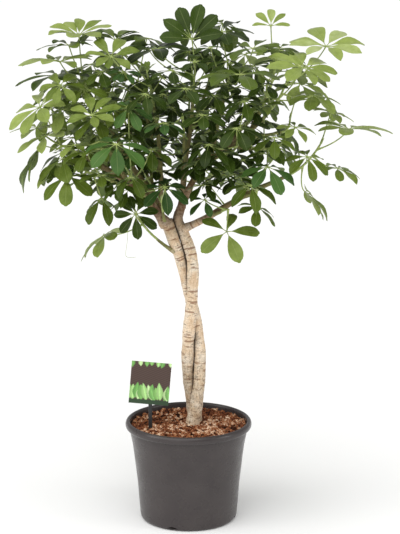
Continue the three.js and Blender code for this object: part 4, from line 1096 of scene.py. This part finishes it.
# ---- Stems and limbs --------------------------------------------------------------------------
STEM_ROWS, STEM_SIDES, LIMB_ROW, LIMB_SIDES = 260, 28, 2.6, 12
GREEN_WOOD = 3.6  # radius up to which a limb's bark is green; at twice that it is old
PARTED = 700  # height by which a stem has narrowed to its top
PRESSED, PRESSED_HEIGHT, PRESSED_REACH = 0.9, 615, 34  # swelling where the two grew together
LIMB_SWELL, LIMB_SWELL_REACH = 0.35, 16  # a limb is thicker where it leaves the wood that carries it
LIMB_RELIEF = 0.35  # of its bark, as a share of a stem's
# how often the other stem's line is sampled, and the most that the seam's painted shade darkens the bark
SEAM_SAMPLES, SEAM_SHADE_MOST = 200, 0.95
KNOTS = (325, 465)  # heights between which the painted shade along the seam of the two stems is wide and dark
SEAM_SHADE_FADE, KNOT_SHADE_FADE = 1.6, 3.0  # how fast the seam's painted shade fades, and how much slower at a knot


def knobs(along, angle, seed):
    """Relief of old bark in millimetres: slow bulges, and a raised leaf scar about every 21 mm."""
    slow = (0.7 * math.sin(along / 23 + seed) * math.sin(2 * angle + along / 61)
            + 0.45 * math.sin(along / 9.5 + 2 * seed + 1.5 * math.sin(angle + seed)))
    spacing = 21 + 5 * math.sin(seed * 3 + along / 130)
    ring = (along / spacing + 0.12 * math.sin(angle + seed)) % 1
    return slow + 0.55 * math.exp(-((ring - 0.5) * 9) ** 2)


def woody_tube(curve, rows, sides, radius_at, seed, relief):
    """Points of a knobbly tube, with each point's place on the bark and its age."""
    ts = np.linspace(0, 1, rows)
    line = np.array([curve(t) for t in ts])
    normals, binormals = frames_along(line)
    travelled = np.concatenate([[0], np.cumsum(np.linalg.norm(np.diff(line, axis=0), axis=1))])
    points, places, ages = [], [], []
    for row, t in enumerate(ts):
        for side in range(sides):
            angle = 2 * math.pi * side / sides
            radius = radius_at(t) + relief * knobs(travelled[row], angle, seed)
            points.append(line[row] + (normals[row] * math.cos(angle)
                                       + binormals[row] * math.sin(angle)) * radius)
            # the place goes round the tube in the plane, so that the bark has no seam
            places.append((radius_at(t) * math.cos(angle) * MM + seed,
                           radius_at(t) * math.sin(angle) * MM, travelled[row] * MM))
            ages.append(min(1, max(0, (radius_at(t) - GREEN_WOOD) / GREEN_WOOD)))
    return points, places, ages


def woody_stem(letter):
    """A twisted stem with the limbs that it carries, in one piece of bark."""
    stem = STEMS[letter]

    def stem_width(t):
        height = stem["line"](t)[2]
        narrowing = min(1, max(0, (height - TWIST_TOP + 20) / (PARTED - TWIST_TOP)))
        narrowing = narrowing * narrowing * (3 - 2 * narrowing)
        pressed = PRESSED * math.exp(-((height - PRESSED_HEIGHT) / PRESSED_REACH) ** 2)
        return stem_radius(height) + (stem["top"] - stem_radius(height)) * narrowing + pressed
    tubes = [(stem["line"], STEM_ROWS, STEM_SIDES, stem_width, 1.0)]
    for shoot in SHOOTS:
        if shoot["stem"] != letter:
            continue
        root, end = shoot["wood"]
        long = length_of(shoot["limb"])
        width = lambda t, root=root, end=end, long=long: (
            root + (end - root) * t + LIMB_SWELL * root * math.exp(-(t * long / LIMB_SWELL_REACH) ** 2))
        tubes.append((shoot["limb"], int(long / LIMB_ROW), LIMB_SIDES, width, LIMB_RELIEF))
    points, places, ages, faces = [], [], [], []
    other = STEMS["b" if letter == "a" else "a"]["line"]
    beside = np.array([other(t) for t in np.linspace(0, 1, SEAM_SAMPLES)])
    for number, (curve, rows, sides, width, relief) in enumerate(tubes):
        faces += ring_faces(rows, sides, len(points))
        more = woody_tube(curve, rows, sides, width, number + ord(letter), relief)
        points += more[0]
        places += more[1]
        ages += more[2]
    made = mesh_object("bark_stem_" + letter, points, faces)
    give(made.data, "bark", "FLOAT_VECTOR", places)
    give(made.data, "age", "FLOAT", ages)
    # painted shade: the bark darkens where it comes near the other stem, most in the seam between them
    shade = []
    for point in points:
        gap = np.linalg.norm(beside - point, axis=1).min() - STEM_RADIUS
        knotted = KNOTS[0] < point[2] < KNOTS[1]
        width = SEAM_SHADE_FADE + (KNOT_SHADE_FADE * max(0, math.sin(point[2] / 12)) ** 2 if knotted else 0)
        shade.append(min(SEAM_SHADE_MOST, math.exp((1 - gap) / width)))
    give(made.data, "crevice", "FLOAT", shade)
    made.data.materials.append(BARK)
    hand_over(made, "bark", "stem_" + letter)


# ---- Pot --------------------------------------------------------------------------------------
POT_SIDES, DRAIN_SIDES = 160, 40
POT_CORNER, SHARP = 1.6, 40  # radius that its corners are rounded to; degrees from which an edge shows


def rounded(profile, radius, steps=4):
    """Rounds the corners of an open profile."""
    points = [np.array(point, float) for point in profile]
    result = [points[0]]
    for before, corner, after in zip(points, points[1:], points[2:]):
        cut = min(radius, 0.45 * np.linalg.norm(corner - before), 0.45 * np.linalg.norm(after - corner))
        start = corner + unit(before - corner) * cut
        end = corner + unit(after - corner) * cut
        result += [bend(start, corner, end)(t) for t in np.linspace(0, 1, steps)]
    return result + [points[-1]]


def turned(name, profile, sides):
    """A closed body of revolution, from a profile that starts and ends on the axis."""
    inner = profile[1:-1]
    points = [(0, 0, profile[0][1])]
    for radius, height in inner:
        for side in range(sides):
            angle = 2 * math.pi * side / sides
            points.append((radius * math.cos(angle), radius * math.sin(angle), height))
    points.append((0, 0, profile[-1][1]))
    faces = ring_faces(len(inner), sides, 1, closed_ends=False)
    top, last = len(points) - 1, 1 + (len(inner) - 1) * sides
    for side in range(sides):
        beside = (side + 1) % sides
        faces.append((0, 1 + beside, 1 + side))
        faces.append((top, last + side, last + beside))
    return mesh_object(name, points, faces)


def pot_profile():
    """The wall's section: up the outside from the middle of the foot, over the rim and down inside."""
    top, foot, rim, edge = POT_HEIGHT, POT_HEIGHT - RIM_SKIRT, POT_RIM_RADIUS, POT_FOOT_RADIUS
    outside = ([(0, 0), (edge - 8.5, 0), (edge - 3.6, 2), (edge - 1.2, 6.5)]
               + [(radius, height) for height, radius in WALL]
               + [(rim - 4.8, top - 3.4), (rim - 2.2, top - 8.5), (rim - 4.6, foot),
                  (rim - 2.8, foot), (rim - 0.5, foot + 3.4), (rim, top - 8.5), (rim - 1.2, top - 3.8),
                  (rim - 3.8, top - 0.8), (rim - 7.4, top), (rim - 10.4, top - 3.2)])
    inside = ([(radius - POT_WALL, height) for height, radius in reversed(WALL[:-1])]
              + [(edge - POT_WALL - 2.4, POT_FLOOR + 1.5), (edge - 8.5, POT_FLOOR), (0, POT_FLOOR)])
    return rounded(outside + inside, POT_CORNER)


def make_pot():
    """A turned shell, with the drains cut through its foot as parts of circles."""
    pot = turned("nursery_pot", pot_profile(), POT_SIDES)
    points, faces = [], []
    for drain in range(DRAINS):
        turn = math.radians(FIRST_DRAIN + 360 / DRAINS * drain)
        out, side = array(math.cos(turn), math.sin(turn), 0), array(-math.sin(turn), math.cos(turn), 0)
        faces += ring_faces(2, DRAIN_SIDES, len(points))
        for away in (POT_FOOT_RADIUS - 6, POT_FOOT_RADIUS + 24):
            for step in range(DRAIN_SIDES):
                angle = 2 * math.pi * step / DRAIN_SIDES
                points.append(out * away + side * DRAIN_RADIUS * math.cos(angle)
                              + array(0, 0, DRAIN_HEIGHT - DRAIN_RADIUS + DRAIN_RADIUS * math.sin(angle)))
    cutters = mesh_object("drain_cutters", points, faces)
    cut = pot.modifiers.new("drains", "BOOLEAN")
    cut.object, cut.operation, cut.solver = cutters, "DIFFERENCE", "EXACT"
    plain_mesh(pot)
    bpy.data.objects.remove(cutters)
    pot.data.materials.clear()
    pot.data.materials.append(POT_PLASTIC)
    pot.data.set_sharp_from_angle(angle=math.radians(SHARP))
    hand_over(pot, "pot_plastic", "pot")


# ---- Soil -------------------------------------------------------------------------------------
HOLLOW_X, HOLLOW_Y, HOLLOW_WIDTH, HOLLOW_DEPTH = -30, 50, 28, 22  # in the soil, behind the stems
CHIP_SHAPES, CHIP_SIZES, CHIPS_PER_M2 = 5, (4, 17), 76000.0
SOIL_SIDES, SOIL_RINGS = 72, 30


def soil_height(x, y):
    """The top of the soil: a mound round the stems, with lumps and a hollow."""
    mound = SOIL_MOUND * math.exp(-(math.hypot(x, y) / 62) ** 2)
    lumps = (math.sin(0.14 * x + 0.09 * y) * math.cos(0.17 * y - 0.05 * x)
             + 0.6 * math.sin(0.33 * x - 0.21 * y + 1) * math.sin(0.29 * y + 0.2 * x))
    hollow = HOLLOW_DEPTH * math.exp(-((x - HOLLOW_X) ** 2 + (y - HOLLOW_Y) ** 2) / HOLLOW_WIDTH ** 2)
    return SOIL_LEVEL + mound + SOIL_RELIEF * lumps - hollow


def chip_shape(number):
    """A bark chip, a metre long: a flat broken flake with a ragged outline."""
    draw = seeded(FIRST_CHIP_SEED + number)
    sides = 5 + number % 3
    rings = []
    for height, scale in ((-0.09, 0.7), (0.0, 1.0), (0.1, 0.6)):
        for side in range(sides):
            angle = 2 * math.pi * (side + 0.5 * draw()) / sides
            reach = scale * (0.32 + 0.2 * draw())
            rings.append((1.25 * reach * math.cos(angle), 0.62 * reach * math.sin(angle),
                          height + 0.1 * (draw() - 0.5)))
    return mesh_object(f"chip_{number}", np.array(rings) / MM, ring_faces(3, sides), smooth=False)


def make_soil():
    """A turned bed of soil, strewn with bark chips."""
    inner = lambda radius: radius - POT_WALL - SOIL_GAP
    wall = [(inner(radius), height) for height, radius in WALL[1:-1]]
    edge = wall[-1][0]
    profile = ([(0, POT_FLOOR + 0.5), (POT_FOOT_RADIUS - 10, POT_FLOOR + 0.5),
                (inner(POT_FOOT_RADIUS) - 1, 14)] + wall
               + [(radius, SOIL_LEVEL) for radius in np.linspace(edge, 4, SOIL_RINGS)]
               + [(0, SOIL_LEVEL)])
    soil = turned("bark_mulch", profile, SOIL_SIDES)
    for vertex in soil.data.vertices:
        if vertex.co.z > (SOIL_LEVEL - 1) * MM:
            vertex.co.z = soil_height(vertex.co.x / MM, vertex.co.y / MM) * MM
    give(soil.data, "tint", "FLOAT", [0.12] * len(soil.data.vertices))
    chips = shapes_collection("chips", [chip_shape(i) for i in range(CHIP_SHAPES)])
    smallest, largest = CHIP_SIZES
    plain_mesh(soil, mulch_tree(), {
        "Chips": chips, "Last Chip": CHIP_SHAPES - 1, "Chips per m2": CHIPS_PER_M2,
        "Bed Radius": (edge - 3) * MM, "Bed Level": (SOIL_LEVEL - HOLLOW_DEPTH - 3) * MM,
        "Smallest": smallest * MM, "Largest": largest * MM, "Seed": MULCH_SEED, "Finish": CHIPS})
    drop_shapes(chips)
    hand_over(soil, "bark_chips", "substrate")


# ---- Care card on its stake -------------------------------------------------------------------
PRINT_STEP, CARD_FOOT = 1, 10  # the print's grain, and the height of its dark foot
LOWER_TUFT, UPPER_TUFT = 15, 7  # how many leaves each has


def leaf_ink(x, y, leaf):
    """Whether a point of the card, in millimetres, is on a printed leaf, and how near its rib."""
    x0, y0, angle, length, width = leaf
    dx, dy = x - x0, y - y0
    along = (dx * math.cos(angle) + dy * math.sin(angle)) / length
    across = (-dx * math.sin(angle) + dy * math.cos(angle)) / width
    if not 0 < along < 1:
        return None
    edge = abs(across) / max(0.02, math.sin(math.pi * along ** 0.8))
    return edge if edge < 1 else None


def card_ink(x, y, leaves):
    """The print: a brown field over a dark green foot, with two tufts of plain leaves."""
    colour = array(*linear("#4A352C")[:3]) * (0.85 + 0.5 * math.sin(x * 1.7) * math.sin(y * 1.3 + x))
    for leaf, shade in leaves:
        edge = leaf_ink(x, y, leaf)
        if edge is not None:
            colour = array(*linear(shade)[:3]) * (1.25 if edge < 0.12 else 1.0 - 0.35 * edge)
    if y < -CARD_HEIGHT / 2 + CARD_FOOT:
        colour = array(*linear("#1F3B1C")[:3])
    return (*np.clip(colour, 0, 1), 1)


def make_card():
    """The card's faces are fine enough to carry its print, point by point."""
    half_width, half_height = CARD_WIDTH / 2, CARD_HEIGHT / 2
    across = np.arange(-half_width, half_width + 0.1, PRINT_STEP)
    up = np.arange(-half_height, half_height + 0.1, PRINT_STEP)
    draw = seeded(PRINT_SEED)
    greens = ("#86BC62", "#A6D582", "#6CA650", "#C6E6A2", "#79B45C")
    leaves = []
    for i in range(LOWER_TUFT):
        leaves.append(((-half_width + 6 * i + 3 * draw(), -38 + 5 * draw(), math.radians(60 + 60 * draw()),
                        27 + 12 * draw(), 6.5 + 2.5 * draw()), greens[i % len(greens)]))
    for i in range(UPPER_TUFT):
        leaves.append(((-40 + 13 * i + 4 * draw(), 50, math.radians(-110 + 40 * draw()),
                        12 + 6 * draw(), 5), greens[(i + 2) % len(greens)]))
    points, inks, faces = [], [], []
    columns = len(across)
    count = columns * len(up)
    for depth in (-0.5, 0.5):
        for y in up:
            for x in across:
                points.append((x, depth * CARD_THICKNESS, y))
                inks.append(card_ink(x if depth < 0 else -x, y, leaves))
    for row in range(len(up) - 1):
        for column in range(columns - 1):
            a = row * columns + column
            b, c, d = a + 1, a + columns + 1, a + columns
            faces.append((a, b, c, d))
            faces.append((a + count, d + count, c + count, b + count))
    border = (list(range(columns)) + [row * columns + columns - 1 for row in range(1, len(up))]
              + [count - 1 - i for i in range(1, columns)]
              + [row * columns for row in range(len(up) - 2, 0, -1)])
    for start, end in zip(border, border[1:] + border[:1]):
        faces.append((start, start + count, end + count, end))
    lean = math.radians(CARD_LEAN)
    placed = [(CARD_AT[0] + x * math.cos(lean) + z * math.sin(lean), CARD_AT[1] + y,
               CARD_AT[2] - x * math.sin(lean) + z * math.cos(lean)) for x, y, z in points]
    card = mesh_object("care_card", placed, faces, smooth=False)
    layer = card.data.attributes.new("ink", "FLOAT_COLOR", "POINT")
    layer.data.foreach_set("color", np.array(inks).ravel())
    card.data.materials.append(CARD_STOCK)
    hand_over(card, "card", "label_card")


def make_stake():
    """A flat stake behind the card, with a wider head and softened edges."""
    half, head, foot, top = STAKE_WIDTH / 2, STAKE_HEAD / 2, STAKE_FOOT, STAKE_TOP
    outline = ((0, foot), (half, foot + 14), (half, top - 12), (head, top - 12), (head, top),
               (-head, top), (-head, top - 12), (-half, top - 12), (-half, foot + 14))
    x, y = CARD_AT[0], CARD_AT[1] + CARD_THICKNESS / 2 + 0.3
    count = len(outline)
    points = [(x + px, y + depth, pz) for depth in (0, STAKE_THICKNESS) for px, pz in outline]
    faces = [tuple(range(count)), tuple(reversed(range(count, 2 * count)))]
    faces += [(i, i + count, (i + 1) % count + count, (i + 1) % count) for i in range(count)]
    stake = mesh_object("label_stake_moulding", points, faces, smooth=False)
    bevel = stake.modifiers.new("moulded_edges", "BEVEL")
    bevel.width, bevel.segments = 0.6 * MM, 3
    plain_mesh(stake)
    stake.data.materials.clear()
    stake.data.materials.append(STAKE_PLASTIC)
    hand_over(stake, "stake_plastic", "label_stake")


# ---- Studio -----------------------------------------------------------------------------------
FLOOR_REACH, SKY_STRENGTH = 80000, 0.52
AIM = Vector((0, 0, 0.6))  # metres; where the lamps point
CAMERA_AT, CAMERA_PITCH = (0.0245, -3.6, 1.34), 12.378  # metres, and degrees down from level
FOCAL_LENGTH, FRAME_HEIGHT, SENSOR = 1756.05, 534, 36  # in pixels of the picture, and the sensor's mm


def add_light(name, kind, place, power, **settings):
    """A lamp that shines from its place towards the middle of the plant."""
    light = bpy.data.lights.new(name, kind)
    light.energy = power
    for key, value in settings.items():
        setattr(light, key, value)
    lamp = bpy.data.objects.new(name, light)
    lamp.location = place
    lamp.rotation_euler = (AIM - Vector(place)).to_track_quat("-Z", "Y").to_euler()
    bpy.context.collection.objects.link(lamp)


def studio():
    """Soft light from all round and above, on pale paper that runs to the horizon."""
    corners = [(x * FLOOR_REACH, y * FLOOR_REACH, 0) for x, y in ((-1, -1), (1, -1), (1, 1), (-1, 1))]
    floor = mesh_object("studio_floor", corners, [(0, 1, 2, 3)])
    paper, tree, surface = new_material("studio_paper", Roughness=0.9)
    surface.inputs["Base Color"].default_value = linear("#FCFCFB")
    floor.data.materials.append(paper)
    world = bpy.data.worlds.new("studio_light")
    world.use_nodes = True
    background = world.node_tree.nodes["Background"]
    background.inputs["Color"].default_value = linear("#FFFFFF")
    background.inputs["Strength"].default_value = SKY_STRENGTH
    scene = bpy.context.scene
    scene.world = world
    scene.view_settings.view_transform = "Standard"
    add_light("ceiling", "SUN", (-1.6, -2.6, 4.6), 2.25, angle=math.radians(85))
    add_light("left", "AREA", (-2.6, -1.0, 1.2), 11, size=1.2)
    add_light("right", "AREA", (2.6, -1.0, 1.2), 16, size=1.2)


def camera():
    """The photograph's own view: its place, pitch and lens were worked out from the pot."""
    lens = bpy.data.cameras.new("view")
    lens.lens = FOCAL_LENGTH * SENSOR / FRAME_HEIGHT
    lens.clip_end = 200
    eye = bpy.data.objects.new("view", lens)
    eye.location = CAMERA_AT
    eye.rotation_euler = (math.radians(90 - CAMERA_PITCH), 0, 0)
    bpy.context.collection.objects.link(eye)
    bpy.context.scene.camera = eye


for shoot in SHOOTS:
    add_shoot_lines(shoot)
make_pot()
make_soil()
for letter in STEMS:
    woody_stem(letter)
grow_shoots()
make_card()
make_stake()
studio()
camera()
